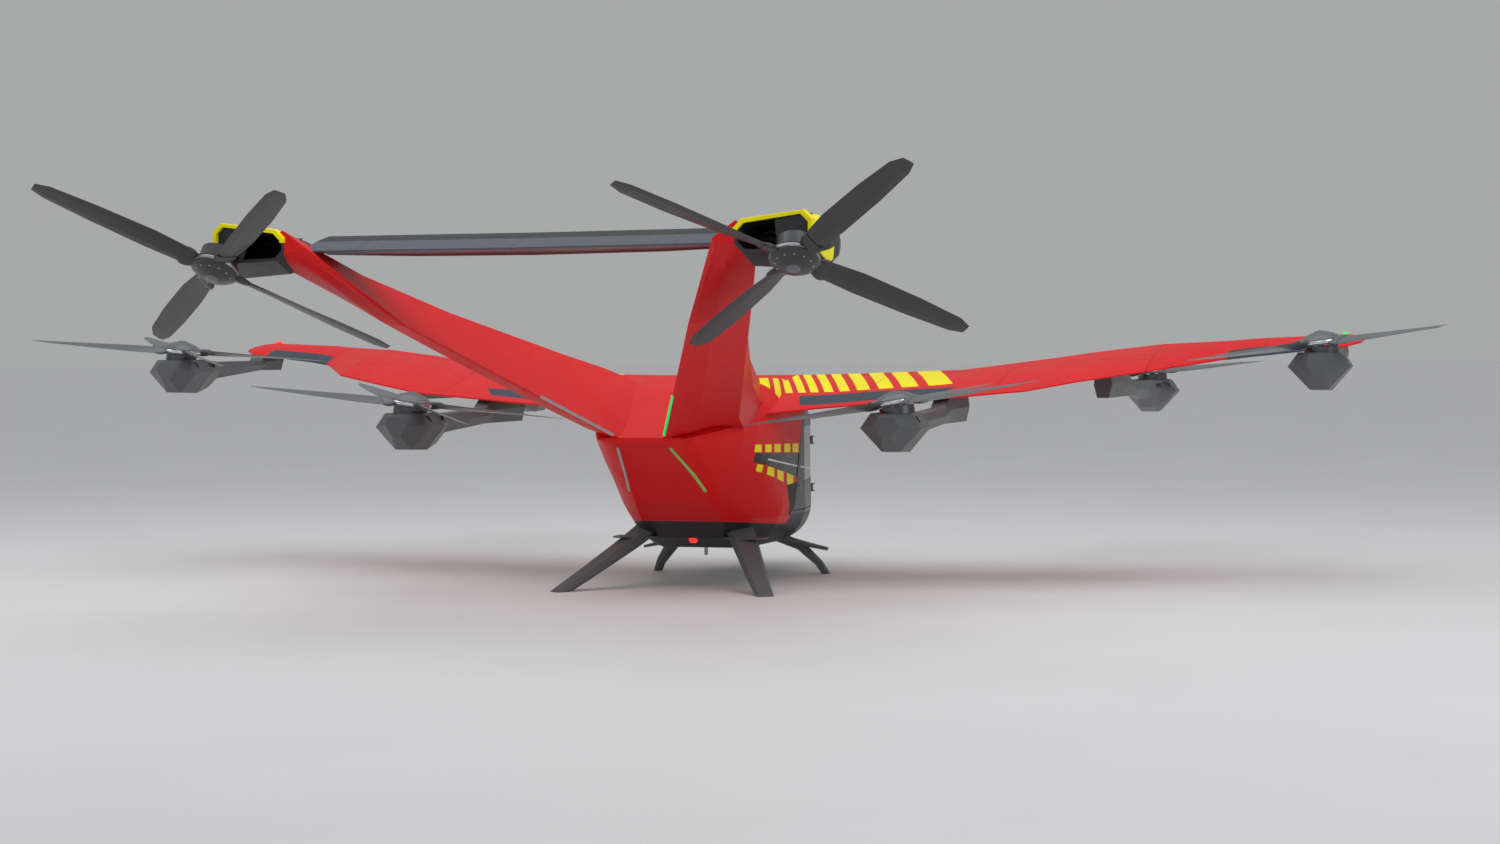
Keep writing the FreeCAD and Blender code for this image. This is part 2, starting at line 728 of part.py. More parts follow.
def build_pods(wing_pieces, rotors):
    parts = {}
    places = {row[0]: row for row in rotors}
    for name, sense, clear, clear_top, meet, end, bottom in BOOMS:
        row = places[name]
        x, y, z = row[1:4]
        wires = []
        for along, top_half, chine_half, keel_half, top, chine, keel in POD_SECTIONS:
            wires.append(pod_wire(x, y + sense * along, top_half, chine_half, keel_half,
                                  z + top, z + chine, z + keel))
        stops = (
            (clear, clear_top),
            (meet, underside(x, meet) + BOOM_BITE),
            (end, underside(x, end) + BOOM_BITE),
        )
        for station, top in stops:
            wires.append(pod_wire(x, station, BOOM_HALF, BOOM_CHINE, BOOM_KEEL, top,
                                  (top + bottom) / 2, bottom))
        pod = ruled(wires).cut(wing_pieces)
        pod = sorted(pod.Solids, key=lambda solid: solid.Volume)[-1]
        drum = cylinder(MOTOR_RADIUS, MOTOR_HEIGHT, V(0, 0, -HUB_BELOW - MOTOR_GAP - MOTOR_HEIGHT))
        drum.Placement = rotor_placement(row).multiply(drum.Placement)
        pod = pod.cut([drum] + pod_slots(x, y, z, sense))
        parts["pod_" + name + "_right"] = pod
        parts["pod_" + name + "_left"] = mirrored(pod)
    return parts


# Nacelle sections: station, inner x, outer x, top height inboard, top height outboard,
# bottom height inboard, bottom height outboard
NACELLE_SECTIONS = (
    (-4420, 2080, 2560, 3200, 3220, 3120, 3120),
    (-4800, 1990, 2650, 3260, 3310, 3020, 2990),
    (-5130, 1974, 2665, 3298, 3360, 2975, 2935),
    (-5400, 1960, 2600, 3330, 3392, 3075, 3060),
)
NACELLE_ROUND = 70.0
NACELLE_WALL = 26.0
NACELLE_CORNER_SHARE = 0.3
NACELLE_DUCT_FORE = -4950.0
NACELLE_FOOT = 30.0
LIP_PROUD = 9.0
LIP_WRAP = 70.0
LIP_DEPTH = 32.0
LIP_LOW = 3225.0


def nacelle_row(y):
    """The nacelle section at any station, between the two rows beside it."""
    for high, low in zip(NACELLE_SECTIONS, NACELLE_SECTIONS[1:]):
        if low[0] <= y <= high[0]:
            t = (y - high[0]) / (low[0] - high[0])
            return tuple(a + t * (b - a) for a, b in zip(high, low))
    return (y,) + NACELLE_SECTIONS[-1][1:]


def nacelle_wire(y, inner, outer, top_in, top_out, low_in, low_out, inset):
    inner = inner + inset
    outer = outer - inset
    top_in = top_in - inset
    top_out = top_out - inset
    low_in = low_in + inset
    low_out = low_out + inset
    corner = min(NACELLE_ROUND, NACELLE_CORNER_SHARE * (top_in - low_in))
    return outline([
        V(inner + corner, y, top_in), V(outer - corner, y, top_out), V(outer, y, top_out - corner),
        V(outer, y, low_out + corner), V(outer - corner, y, low_out), V(inner + corner, y, low_in),
        V(inner, y, low_in + corner), V(inner, y, top_in - corner)])


def nacelle_duct():
    """The hollow of the duct, carried past the lip at its mouth."""
    inner = [row for row in NACELLE_SECTIONS if row[0] < NACELLE_DUCT_FORE]
    rows = [nacelle_row(NACELLE_DUCT_FORE)] + inner
    rows.append(nacelle_row(NACELLE_SECTIONS[-1][0] - 2 * LIP_DEPTH))
    return ruled([nacelle_wire(*row, NACELLE_WALL) for row in rows])


def build_nacelle(row):
    """A boxy duct, open aft, with the motor's pedestal standing in it and a lip at its mouth.

    The third solid is the closed form that the fin's tip is trimmed to.
    """
    body = ruled([nacelle_wire(*section, 0.0) for section in NACELLE_SECTIONS])
    duct = nacelle_duct()
    place = rotor_placement(row)
    top = -HUB_BELOW - MOTOR_GAP
    foot = 3 * MOTOR_HEIGHT
    stand = cylinder(MOTOR_RADIUS + NACELLE_FOOT, MOTOR_HEIGHT + foot,
                     V(0, 0, top - MOTOR_HEIGHT - foot))
    stand.Placement = place.multiply(stand.Placement)
    stand = stand.common(body)
    drum = cylinder(MOTOR_RADIUS, MOTOR_HEIGHT, V(0, 0, top - MOTOR_HEIGHT))
    drum.Placement = place.multiply(drum.Placement)
    nacelle = body.cut(duct).fuse(stand).cut(drum)
    mouth = NACELLE_SECTIONS[-1][0]
    around = [nacelle_wire(*nacelle_row(mouth + LIP_WRAP), -LIP_PROUD / 3),
              nacelle_wire(*nacelle_row(mouth), -LIP_PROUD),
              nacelle_wire(*nacelle_row(mouth - LIP_DEPTH), -LIP_PROUD / 3)]
    upper = box(0, 4000, mouth - 1000, mouth + 1000, LIP_LOW, LIP_LOW + 1000)
    lip = ruled(around).cut(body).cut(duct).common(upper)
    return nacelle, lip, body


# Legs: points down the middle of the leg as x, station, height, width, thickness
LEGS = {
    "rear": (
        (470, -640, 560, 300, 110),
        (600, -850, 420, 270, 100),
        (880, -1360, 140, 210, 80),
        (1030, -1620, 0, 180, 70),
        (1090, -1720, -60, 170, 66),
    ),
    "front": (
        (330, 420, 560, 240, 110),
        (460, 560, 420, 220, 100),
        (700, 740, 290, 170, 84),
        (860, 850, 110, 120, 66),
        (918, 900, 0, 104, 60),
        (945, 925, -60, 100, 58),
    ),
}


# Entry step on each front leg, in the same columns as the legs
STEP = (
    (560, 640, 372, 210, 60),
    (760, 700, 318, 170, 44),
    (985, 735, 268, 120, 26),
)


def leg_wires(points):
    """A flat bar bent along its points: each section lies square to the run of the leg."""
    wires = []
    for index, (x, y, z, width, thickness) in enumerate(points):
        before = points[max(index - 1, 0)]
        after = points[min(index + 1, len(points) - 1)]
        run = V(after[0] - before[0], after[1] - before[1], after[2] - before[2])
        run.normalize()
        across = V(0, 0, 1).cross(run)
        across.normalize()
        up = run.cross(across)
        middle = V(x, y, z)
        a = across * (width / 2)
        b = up * (thickness / 2)
        c = across * (width / 2 - thickness * 0.35)
        wires.append(outline([middle + a, middle + c + b, middle - c + b, middle - a,
                              middle - c - b, middle + c - b]))
    return wires


def build_legs(outer):
    parts = {}
    for name, points in LEGS.items():
        leg = ruled(leg_wires(points))
        if name == "front":
            leg = leg.fuse(ruled(leg_wires(STEP)))
        leg = leg.cut(box(-3000, 3000, -5000, 5000, -SOLE_CUT, 0))
        leg = leg.cut(outer)
        leg = sorted(leg.Solids, key=lambda solid: solid.BoundBox.ZMin)[0]
        parts["leg_" + name + "_right"] = leg
        parts["leg_" + name + "_left"] = mirrored(leg)
    return parts


# The light strip under the tail runs on the skin between two points in plan, x and station
STRIP_START = (262.0, -2060.0)
STRIP_END = (385.0, -1415.0)
STRIP_STEPS = 4
# The strip on a fin's trailing edge runs between these shares of the way from one fin section
# to the next
FIN_STRIP_ROW = 3
FIN_STRIP_START = 0.084
FIN_STRIP_END = 0.714


def bar(start, end, size):
    run = (end - start).normalize()
    across = V(0, 0, 1).cross(run)
    across.normalize()
    up = run.cross(across)
    wires = []
    for point in (start, end):
        a = across * (size / 2)
        b = up * (size / 2)
        wires.append(outline([point + a + b, point - a + b, point - a - b, point + a - b]))
    return ruled(wires)


def lens(x, y, z, half, length, height):
    """A faceted lamp lens whose foot lies at a height and whose faces taper upwards."""
    wires = []
    for share, level in ((1.0, 0.0), (LENS_TAPER, height)):
        a = half * share
        b = length / 2 * share
        wires.append(outline([V(x - a, y - b, z + level), V(x + a, y - b, z + level),
                              V(x + a, y + b, z + level), V(x - a, y + b, z + level)]))
    return ruled(wires)


def belly_strip(outer):
    """Bars end to end along the fuselage's lower skin, each half sunk in it."""
    points = []
    for step in range(STRIP_STEPS + 1):
        t = step / STRIP_STEPS
        x, y = (a + t * (b - a) for a, b in zip(STRIP_START, STRIP_END))
        plumb = line(V(x, y, 0), V(x, y, DECK_TOP)).common(outer)
        points.append(V(x, y, min(vertex.Z for vertex in plumb.Vertexes)))
    bars = [bar(a, b, STRIP_SIZE) for a, b in zip(points, points[1:])]
    return bars[0].fuse(bars[1:]).cut(outer)


def fin_strip():
    """A bar centred on the fin's trailing edge."""
    a, b = [V(row[1], row[0], row[2]) for row in FIN_SECTIONS[FIN_STRIP_ROW:FIN_STRIP_ROW + 2]]
    return bar(a + (b - a) * FIN_STRIP_START, a + (b - a) * FIN_STRIP_END, STRIP_SIZE)


def build_fittings(outer, wing, fin):
    strips = []
    for strip in (belly_strip(outer), fin_strip().cut([outer, fin])):
        strips += [strip, mirrored(strip)]
    belly = section_at(BEACON_STATION)[-1]
    beacon = lens(0.0, BEACON_STATION, belly + BEACON_HEIGHT, BEACON_HALF, 2 * BEACON_HALF,
                  -2 * BEACON_HEIGHT)
    lugs = []
    for y in LUG_STATIONS:
        low = BELLY_BOTTOM - LUG_DROP
        plate = box(-LUG_PLATE / 2, LUG_PLATE / 2, y - LUG_RADIUS, y + LUG_RADIUS, low,
                    BELLY_BOTTOM)
        eye = cylinder(LUG_RADIUS, LUG_PLATE, V(-LUG_PLATE / 2, y, low), V(1, 0, 0))
        hole = cylinder(LUG_BORE_RADIUS, LUG_PLATE * 3, V(-LUG_PLATE * 1.5, y, low), V(1, 0, 0))
        lugs.append(plate.fuse(eye).removeSplitter().cut(hole))
    tip = WING_SECTIONS[-2]
    lamp = lens(tip[0] - NAV_LIGHT_HALF, tip[3] - NAV_LIGHT_LENGTH, tip[4] - NAV_LIGHT_HEIGHT,
                NAV_LIGHT_HALF, NAV_LIGHT_LENGTH, 2 * NAV_LIGHT_HEIGHT)
    lamp = lamp.cut(wing)
    return {
        "tail_light_strips": strips,
        "beacon": beacon.cut(outer),
        "tie_down_lugs": lugs,
        "nav_lights": [lamp, mirrored(lamp)],
    }


def build():
    parts = {}
    outer, cavity, fuselage = build_fuselage()
    parts.update(fuselage)
    parts.update(build_seats())
    parts.update(build_inside(cavity))
    wings = build_wings(outer)
    parts.update(wings)
    tail = build_tail(outer)
    parts.update(tail)
    wing_pieces = [wings["wing_right"], wings["flaps"][0], wings["ailerons"][0]]
    parts.update(build_pods(wing_pieces, ROTORS))
    parts.update(build_legs(outer))
    nacelle, lip, form = build_nacelle(ROTORS[-1])
    fin = tail["fin_right"].cut([form, lip])
    fin = sorted(fin.Solids, key=lambda solid: solid.Volume)[-1]
    parts["fin_right"] = fin
    parts["fin_left"] = mirrored(fin)
    parts.update(build_fittings(outer, wings["wing_right"], fin))
    parts["nacelle_right"] = nacelle
    parts["nacelle_left"] = mirrored(nacelle)
    parts["nacelle_lips"] = [lip, mirrored(lip)]
    for name in ("right", "left"):
        parts["tailplane"] = parts["tailplane"].cut(parts["nacelle_" + name])

    motors = []
    kinds = {"tail": (TAIL_BLADE, -1)}
    for row in ROTORS:
        place = rotor_placement(row)
        rotor = build_rotor(row[-1], *kinds.get(row[0], (WING_BLADE, 1)))
        rotor.Placement = place.multiply(rotor.Placement)
        parts["rotor_" + row[0] + "_right"] = rotor
        parts["rotor_" + row[0] + "_left"] = mirrored(rotor)
        motor = build_motor()
        motor.Placement = place.multiply(motor.Placement)
        motors += [motor, mirrored(motor)]
    parts["motors"] = motors
    return parts


def main():
    os.makedirs("parts", exist_ok=True)
    for name, shape in build().items():
        if isinstance(shape, list):
            shape = Part.makeCompound(shape)
        placed = shape.copy()
        placed.translate(V(0, -ORIGIN_STATION, 0))
        placed.exportStep("parts/" + name + ".step")
        low = placed.BoundBox
        print(name, len(placed.Solids), placed.isValid(), round(placed.Volume / 1e9, 5),
              [round(v) for v in (low.XMin, low.XMax, low.YMin, low.YMax, low.ZMin, low.ZMax)])


if __name__ == "__main__":
    main()
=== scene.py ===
"""Looks of a four-seat electric take-off aircraft in a rescue livery.

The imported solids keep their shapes. This script gives each of them a finish, adds the pieces
that only show, and sets the floor, the lamps and the camera at the photograph's viewing angle.
"""

from __future__ import annotations

import json
import logging
import math
from dataclasses import dataclass, field
from enum import Enum

import bmesh
import bpy
import numpy as np
from mathutils import Matrix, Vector
from mathutils.bvhtree import BVHTree

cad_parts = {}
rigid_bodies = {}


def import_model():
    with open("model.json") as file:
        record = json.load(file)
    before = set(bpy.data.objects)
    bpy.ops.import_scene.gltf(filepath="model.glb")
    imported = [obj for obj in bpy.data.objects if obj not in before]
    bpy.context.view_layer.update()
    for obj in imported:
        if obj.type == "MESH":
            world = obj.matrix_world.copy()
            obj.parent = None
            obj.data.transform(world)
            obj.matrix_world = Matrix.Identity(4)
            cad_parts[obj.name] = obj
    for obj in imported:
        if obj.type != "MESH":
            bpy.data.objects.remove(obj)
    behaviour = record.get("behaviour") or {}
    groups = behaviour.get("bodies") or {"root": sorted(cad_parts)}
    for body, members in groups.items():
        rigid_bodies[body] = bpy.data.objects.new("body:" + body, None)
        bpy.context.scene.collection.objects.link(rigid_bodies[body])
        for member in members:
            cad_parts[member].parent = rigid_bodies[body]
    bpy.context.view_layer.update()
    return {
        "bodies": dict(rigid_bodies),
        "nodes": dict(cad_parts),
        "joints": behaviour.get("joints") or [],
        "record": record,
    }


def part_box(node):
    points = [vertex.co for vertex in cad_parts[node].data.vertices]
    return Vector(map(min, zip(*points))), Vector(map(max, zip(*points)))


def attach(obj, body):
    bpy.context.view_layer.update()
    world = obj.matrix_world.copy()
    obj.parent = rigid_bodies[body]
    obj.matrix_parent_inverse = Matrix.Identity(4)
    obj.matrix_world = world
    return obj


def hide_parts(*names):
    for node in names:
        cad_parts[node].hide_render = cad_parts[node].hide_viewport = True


LOG = logging.getLogger("aircraft")

Vec2 = tuple[float, float]
Vec3 = tuple[float, float, float]

PORT_TO_STARBOARD = (1.0, 0.0, 0.0)
AFT_TO_NOSE = (0.0, 1.0, 0.0)
UPWARD = (0.0, 0.0, 1.0)
SIDES = (("right", 1.0), ("left", -1.0))


class Tint(Enum):
    """Colours of the livery and the bare materials, as linear red, green and blue."""

    RED = (0.72, 0.010, 0.012)
    YELLOW = (0.96, 0.84, 0.0)
    WHITE = (0.80, 0.81, 0.82)
    PANEL = (0.052, 0.066, 0.092)
    BLACK = (0.006, 0.006, 0.007)
    BELLY = (0.020, 0.021, 0.024)
    FRAME = (0.040, 0.043, 0.048)
    POD = (0.085, 0.090, 0.096)
    NACELLE = (0.024, 0.024, 0.029)
    BLADE = (0.022, 0.0215, 0.023)
    WING_BLADE = (0.11, 0.118, 0.128)
    LEG = (0.080, 0.096, 0.100)
    CABIN = (0.070, 0.073, 0.080)
    ALLOY = (0.13, 0.135, 0.145)
    SCREW = (0.42, 0.43, 0.45)
    DARK_PANEL = (0.022, 0.024, 0.032)
    PALE_PANEL = (0.085, 0.098, 0.125)
    BRIGHT = (0.78, 0.79, 0.81)
    WEBBING = (0.018, 0.019, 0.022)
    DISPLAY = (0.010, 0.016, 0.022)
    UNLIT = (0.16, 0.15, 0.15)
    GREEN_LAMP = (0.02, 0.50, 0.11)
    DIM_LAMP = (0.10, 0.22, 0.045)
    RED_LAMP = (0.95, 0.03, 0.02)
    GLASS = (0.10, 0.108, 0.118)
    FLOOR = (0.68, 0.68, 0.69)


class View(Enum):
    """The two axes of a flat view in which a mark's corners are given."""

    PLAN = (0, 1)
    FLANK = (1, 2)


# Painted marks


@dataclass(frozen=True)
class Mark:
    """A painted patch with straight edges and no inward corner.

    Args:
        view: The flat view that the corners are in.
        corners: The patch's corners, in metres, in either direction round it.
        tint: The colour of the patch.
        spans: Where given, only these lengths of the slanted distance are painted.
        slant: How far along its first axis the slanted distance leans per metre of the second.
        beyond: Where given, a direction and the least distance along it that is painted.
        port_from: Where given, the port side is painted only this far from the middle plane.
    """

    view: View
    corners: tuple[Vec2, ...]
    tint: Tint
    spans: tuple[Vec2, ...] = ()
    slant: float = 0.0
    beyond: tuple[Vec3, float] | None = None
    port_from: float | None = None


@dataclass(frozen=True)
class Seam:
    """A thin joint line where a plane cuts the skin.

    Args:
        normal: The plane's direction.
        offset: The plane's distance from the origin along it, in metres.
        width: The line's width in metres.
    """

    normal: Vec3
    offset: float
    width: float = 0.006


class Graph:
    """A material's node tree, with one short call for each kind of node."""

    def __init__(self, name: str) -> None:
        """Start a tree with a Principled shader and the piece's own coordinates."""
        self.material = bpy.data.materials.new(name)
        self.material.use_nodes = True
        self.tree = self.material.node_tree
        self.shader = self.tree.nodes["Principled BSDF"]
        self.place = self.add("ShaderNodeTexCoord").outputs["Object"]

    def add(self, kind: str, **settings: object) -> bpy.types.Node:
        """Add a node.

        Args:
            kind: The node's type name.
            settings: Properties to set on it.

        Returns:
            The new node.
        """
        node = self.tree.nodes.new(kind)
        for name, value in settings.items():
            setattr(node, name, value)
        return node

    def feed(self, socket: bpy.types.NodeSocket, value: object) -> None:
        """Link a socket to another, or set its value."""
        if isinstance(value, bpy.types.NodeSocket):
            self.tree.links.new(value, socket)
        else:
            socket.default_value = value

    def maths(self, operation: str, *values: object) -> bpy.types.NodeSocket:
        """Work out one number.

        Args:
            operation: The Math node's operation.
            values: Its inputs, as sockets or numbers.

        Returns:
            The result's socket.
        """
        node = self.add("ShaderNodeMath", operation=operation)
        for socket, value in zip(node.inputs, values):
            self.feed(socket, value)
        return node.outputs[0]

    def along(self, place: bpy.types.NodeSocket, direction: Vec3) -> bpy.types.NodeSocket:
        """Distance of a place along a direction."""
        node = self.add("ShaderNodeVectorMath", operation="DOT_PRODUCT")
        self.feed(node.inputs[0], place)
        node.inputs[1].default_value = direction
        return node.outputs["Value"]

    def folded(self) -> bpy.types.NodeSocket:
        """The piece's coordinates with port folded onto starboard."""
        split = self.add("ShaderNodeSeparateXYZ")
        self.feed(split.inputs[0], self.place)
        join = self.add("ShaderNodeCombineXYZ")
        self.feed(join.inputs[0], self.maths("ABSOLUTE", split.outputs[0]))
        self.feed(join.inputs[1], split.outputs[1])
        self.feed(join.inputs[2], split.outputs[2])
        return join.outputs[0]

    def stretched(self, scale: Vec3) -> bpy.types.NodeSocket:
        """The piece's coordinates with each axis scaled."""
        node = self.add("ShaderNodeMapping")
        self.feed(node.inputs["Vector"], self.place)
        node.inputs["Scale"].default_value = scale
        return node.outputs[0]

    def noise(self, scale: float, detail: float = 3.0, stretch: Vec3 = (1.0, 1.0, 1.0)
              ) -> bpy.types.NodeSocket:
        """Cloudy noise between 0 and 1.

        Args:
            scale: Blots per metre.
            detail: Number of finer layers.
            stretch: Scale of each axis.

        Returns:
            The noise's socket.
        """
        node = self.add("ShaderNodeTexNoise")
        self.feed(node.inputs["Vector"], self.stretched(stretch))
        node.inputs["Scale"].default_value = scale
        node.inputs["Detail"].default_value = detail
        return node.outputs[0]

    def between(self, value: object, low: float, high: float) -> bpy.types.NodeSocket:
        """A number from 0 to 1 spread between two others."""
        node = self.add("ShaderNodeMapRange")
        self.feed(node.inputs["Value"], value)
        node.inputs["To Min"].default_value = low
        node.inputs["To Max"].default_value = high
        return node.outputs[0]

    def blend(self, share: object, first: object, second: object) -> bpy.types.NodeSocket:
        """Mix two colours.

        Args:
            share: How much of the second shows.
            first: A colour or a colour socket.
            second: A colour or a colour socket.

        Returns:
            The mixed colour's socket.
        """
        node = self.add("ShaderNodeMix", data_type="RGBA")
        self.feed(node.inputs[0], share)
        for socket, value in ((node.inputs[6], first), (node.inputs[7], second)):
            if isinstance(value, tuple):
                value = value + (1.0,)
            self.feed(socket, value)
        return node.outputs[2]

    def shade(self, colour: object, factor: object) -> bpy.types.NodeSocket:
        """A colour made lighter or darker by a factor."""
        node = self.add("ShaderNodeVectorMath", operation="SCALE")
        self.feed(node.inputs[0], colour)
        self.feed(node.inputs["Scale"], factor)
        return node.outputs[0]

    def patch(self, mark: Mark, place: bpy.types.NodeSocket) -> bpy.types.NodeSocket:
        """A mask that is 1 inside a mark: the product of a test against each of its edges.

        Args:
            mark: The patch.
            place: The coordinates to test.

        Returns:
            The mask's socket.
        """
        points = np.asarray(mark.corners)
        ahead = np.roll(points, -1, axis=0)
        normals = np.stack([ahead[:, 1] - points[:, 1], points[:, 0] - ahead[:, 0]], axis=1)
        middle = points.mean(axis=0)
        signs = np.sign(((points - middle) * normals).sum(axis=1))
        normals = normals * signs[:, None] / np.linalg.norm(normals, axis=1)[:, None]
        limits = (points * normals).sum(axis=1)
        first, second = mark.view.value
        mask = None
        for normal, limit in zip(normals, limits):
            direction = [0.0, 0.0, 0.0]
            direction[first], direction[second] = float(normal[0]), float(normal[1])
            test = self.maths("LESS_THAN", self.along(place, tuple(direction)), float(limit))
            mask = test if mask is None else self.maths("MULTIPLY", mask, test)
        if mark.spans:
            direction = [0.0, 0.0, 0.0]
            direction[first], direction[second] = 1.0, -mark.slant
            distance = self.along(place, tuple(direction))
            inside = None
            for start, end in mark.spans:
                test = self.maths("COMPARE", distance, (start + end) / 2, abs(end - start) / 2)
                inside = test if inside is None else self.maths("MAXIMUM", inside, test)
            mask = self.maths("MULTIPLY", mask, inside)
        if mark.beyond is not None:
            direction, least = mark.beyond
            far = self.maths("GREATER_THAN", self.along(place, direction), least)
            mask = self.maths("MULTIPLY", mask, far)
        if mark.port_from is not None:
            middle = self.along(self.place, PORT_TO_STARBOARD)
            port = self.maths("LESS_THAN", middle, -mark.port_from)
            side = self.maths("MAXIMUM", self.maths("GREATER_THAN", middle, 0.0), port)
            mask = self.maths("MULTIPLY", mask, side)
        return mask

    def ground(self, tint: Tint, marks: tuple[Mark, ...] = (),
               place: bpy.types.NodeSocket | None = None) -> bpy.types.NodeSocket:
        """A colour with painted marks over it.

        Args:
            tint: The ground colour.
            marks: Patches in other colours.
            place: The coordinates at which the marks are tested.

        Returns:
            The colour's socket.
        """
        colour = self.blend(0.0, tint.value, tint.value)
        for mark in marks:
            colour = self.blend(self.patch(mark, place), colour, mark.tint.value)
        return colour

    def joints(self, seams: tuple[Seam, ...], place: bpy.types.NodeSocket
               ) -> bpy.types.NodeSocket | None:
        """A mask that is 1 on joint lines.

        Args:
            seams: The lines.
            place: The coordinates to test.

        Returns:
            The mask's socket, or None where there are no lines.
        """
        mask = None
        for seam in seams:
            test = self.maths("COMPARE", self.along(place, seam.normal), seam.offset,
                              seam.width / 2)
            mask = test if mask is None else self.maths("MAXIMUM", mask, test)
        return mask

    def relief(self, height: object, distance: float, strength: float = 1.0,
               under: bpy.types.NodeSocket | None = None) -> bpy.types.NodeSocket:
        """A bump node's normal.

        Args:
            height: The height's socket.
            distance: The height of a full step in metres.
            strength: How strongly it shows.
            under: A bump that this one goes over.

        Returns:
            The normal's socket.
        """
        node = self.add("ShaderNodeBump")
        node.inputs["Strength"].default_value = strength
        node.inputs["Distance"].default_value = distance
        self.feed(node.inputs["Height"], height)
        if under is not None:
            self.feed(node.inputs["Normal"], under)
        return node.outputs[0]

    def finish(self, **values: object) -> bpy.types.Material:
        """Set or link the shader's sockets.

        Args:
            values: Socket names, with a low line for each space, and their values.

        Returns:
            The finished material.
        """
        for name, value in values.items():
            self.feed(self.shader.inputs[name.replace("_", " ")], value)
        return self.material


# Finishes


@dataclass(frozen=True)
class Paint:
    """Glossy sprayed paint with marks, joint lines, a faint orange peel and traces of soot.

    Args:
        name: The material's name.
        tint: The ground colour.
        marks: Patches in other colours.
        seams: Joint lines.
        roughness: The paint's mean roughness.
        coat: Weight of the clear coat.
    """

    name: str
    tint: Tint
    marks: tuple[Mark, ...] = ()
    seams: tuple[Seam, ...] = ()
    roughness: float = 0.42
    coat: float = 0.05

    def build(self) -> bpy.types.Material:
        """Make the material."""
        graph = Graph(self.name)
        place = graph.folded()
        colour = graph.ground(self.tint, self.marks, place)
        fade = graph.between(graph.noise(0.9, 4.0), 0.90, 1.06)
        streaks = graph.between(graph.noise(5.0, 5.0, (1.0, 0.18, 1.0)), 1.04, 0.90)
        colour = graph.shade(colour, graph.maths("MULTIPLY", fade, streaks))
        peel = graph.relief(graph.noise(420.0, 2.0), 0.0004, 0.25)
        lines = graph.joints(self.seams, place)
        if lines is not None:
            colour = graph.shade(colour, graph.between(lines, 1.0, 0.25))
            sunk = graph.maths("SUBTRACT", 1.0, lines)
            peel = graph.relief(sunk, 0.003, 0.8, peel)
        smooth = graph.between(graph.noise(14.0, 4.0), self.roughness - 0.07,
                               self.roughness + 0.10)
        return graph.finish(Base_Color=colour, Roughness=smooth, Normal=peel,
                            Coat_Weight=self.coat, Coat_Roughness=0.16,
                            Specular_IOR_Level=0.14)


@dataclass(frozen=True)
class Moulding:
    """Satin composite or plastic: mottled colour, a fine grain and rubbed patches.

    Args:
        name: The material's name.
        tint: The ground colour.
        marks: Patches in other colours.
        seams: Joint lines.
        roughness: The mean roughness.
        grain: Height of the moulded grain in metres.
        grain_scale: Grains per metre.
        mottle: How much the colour varies.
    """

    name: str
    tint: Tint
    marks: tuple[Mark, ...] = ()
    seams: tuple[Seam, ...] = ()
    roughness: float = 0.42
    grain: float = 0.0005
    grain_scale: float = 260.0
    mottle: float = 0.16

    def build(self) -> bpy.types.Material:
        """Make the material."""
        graph = Graph(self.name)
        place = graph.folded()
        colour = graph.ground(self.tint, self.marks, place)
        cloud = graph.between(graph.noise(2.4, 5.0), 1.0 - self.mottle, 1.0 + self.mottle)
        colour = graph.shade(colour, cloud)
        relief = graph.relief(graph.noise(self.grain_scale, 3.0), self.grain, 0.35)
        lines = graph.joints(self.seams, place)
        if lines is not None:
            colour = graph.shade(colour, graph.between(lines, 1.0, 0.3))
            relief = graph.relief(graph.maths("SUBTRACT", 1.0, lines), 0.003, 0.8, relief)
        smooth = graph.between(graph.noise(9.0, 4.0), self.roughness - 0.1,
                               self.roughness + 0.14)
        return graph.finish(Base_Color=colour, Roughness=smooth, Normal=relief,
                            Specular_IOR_Level=0.5)


@dataclass(frozen=True)
class Laminate:
    """Woven carbon under clear resin: two crossed sets of ribs under a satin coat.

    Args:
        name: The material's name.
        tint: The ground colour.
        pitch: Width of one tow in metres.
        roughness: The mean roughness.
    """

    name: str
    tint: Tint
    pitch: float = 0.006
    roughness: float = 0.36

    def build(self) -> bpy.types.Material:
        """Make the material: the weave is the product of sines along two diagonals."""
        graph = Graph(self.name)
        turn = 2.0 * math.pi / (self.pitch * math.sqrt(8.0))
        first = graph.maths("SINE", graph.along(graph.place, (turn, turn, 0.4 * turn)))
        second = graph.maths("SINE", graph.along(graph.place, (turn, -turn, 0.3 * turn)))
        weave = graph.between(graph.maths("MULTIPLY", first, second), 0.5, 1.0)
        colour = graph.ground(self.tint)
        cloud = graph.between(graph.noise(3.0, 5.0), 0.84, 1.18)
        rib = graph.maths("MULTIPLY", graph.maths("ADD", graph.maths("MULTIPLY", weave, 0.22),
                                                  0.84), cloud)
        colour = graph.shade(colour, rib)
        relief = graph.relief(weave, 0.0002, 0.3)
        smooth = graph.between(graph.noise(6.0, 4.0), self.roughness - 0.08,
                               self.roughness + 0.12)
        return graph.finish(Base_Color=colour, Roughness=smooth, Normal=relief,
                            Coat_Weight=0.2, Coat_Roughness=0.2)


@dataclass(frozen=True)
class Glazing:
    """Tinted acrylic with faint smears.

    Args:
        name: The material's name.
        tint: The glass's own colour.
    """

    name: str
    tint: Tint = Tint.GLASS

    def build(self) -> bpy.types.Material:
        """Make the material."""
        graph = Graph(self.name)
        smear = graph.between(graph.noise(7.0, 5.0, (1.0, 0.3, 1.0)), 0.01, 0.09)
        colour = graph.ground(self.tint)
        colour = graph.shade(colour, graph.between(graph.noise(1.3, 2.0), 0.92, 1.04))
        return graph.finish(Base_Color=colour, Roughness=smear, Transmission_Weight=1.0,
                            IOR=1.38)


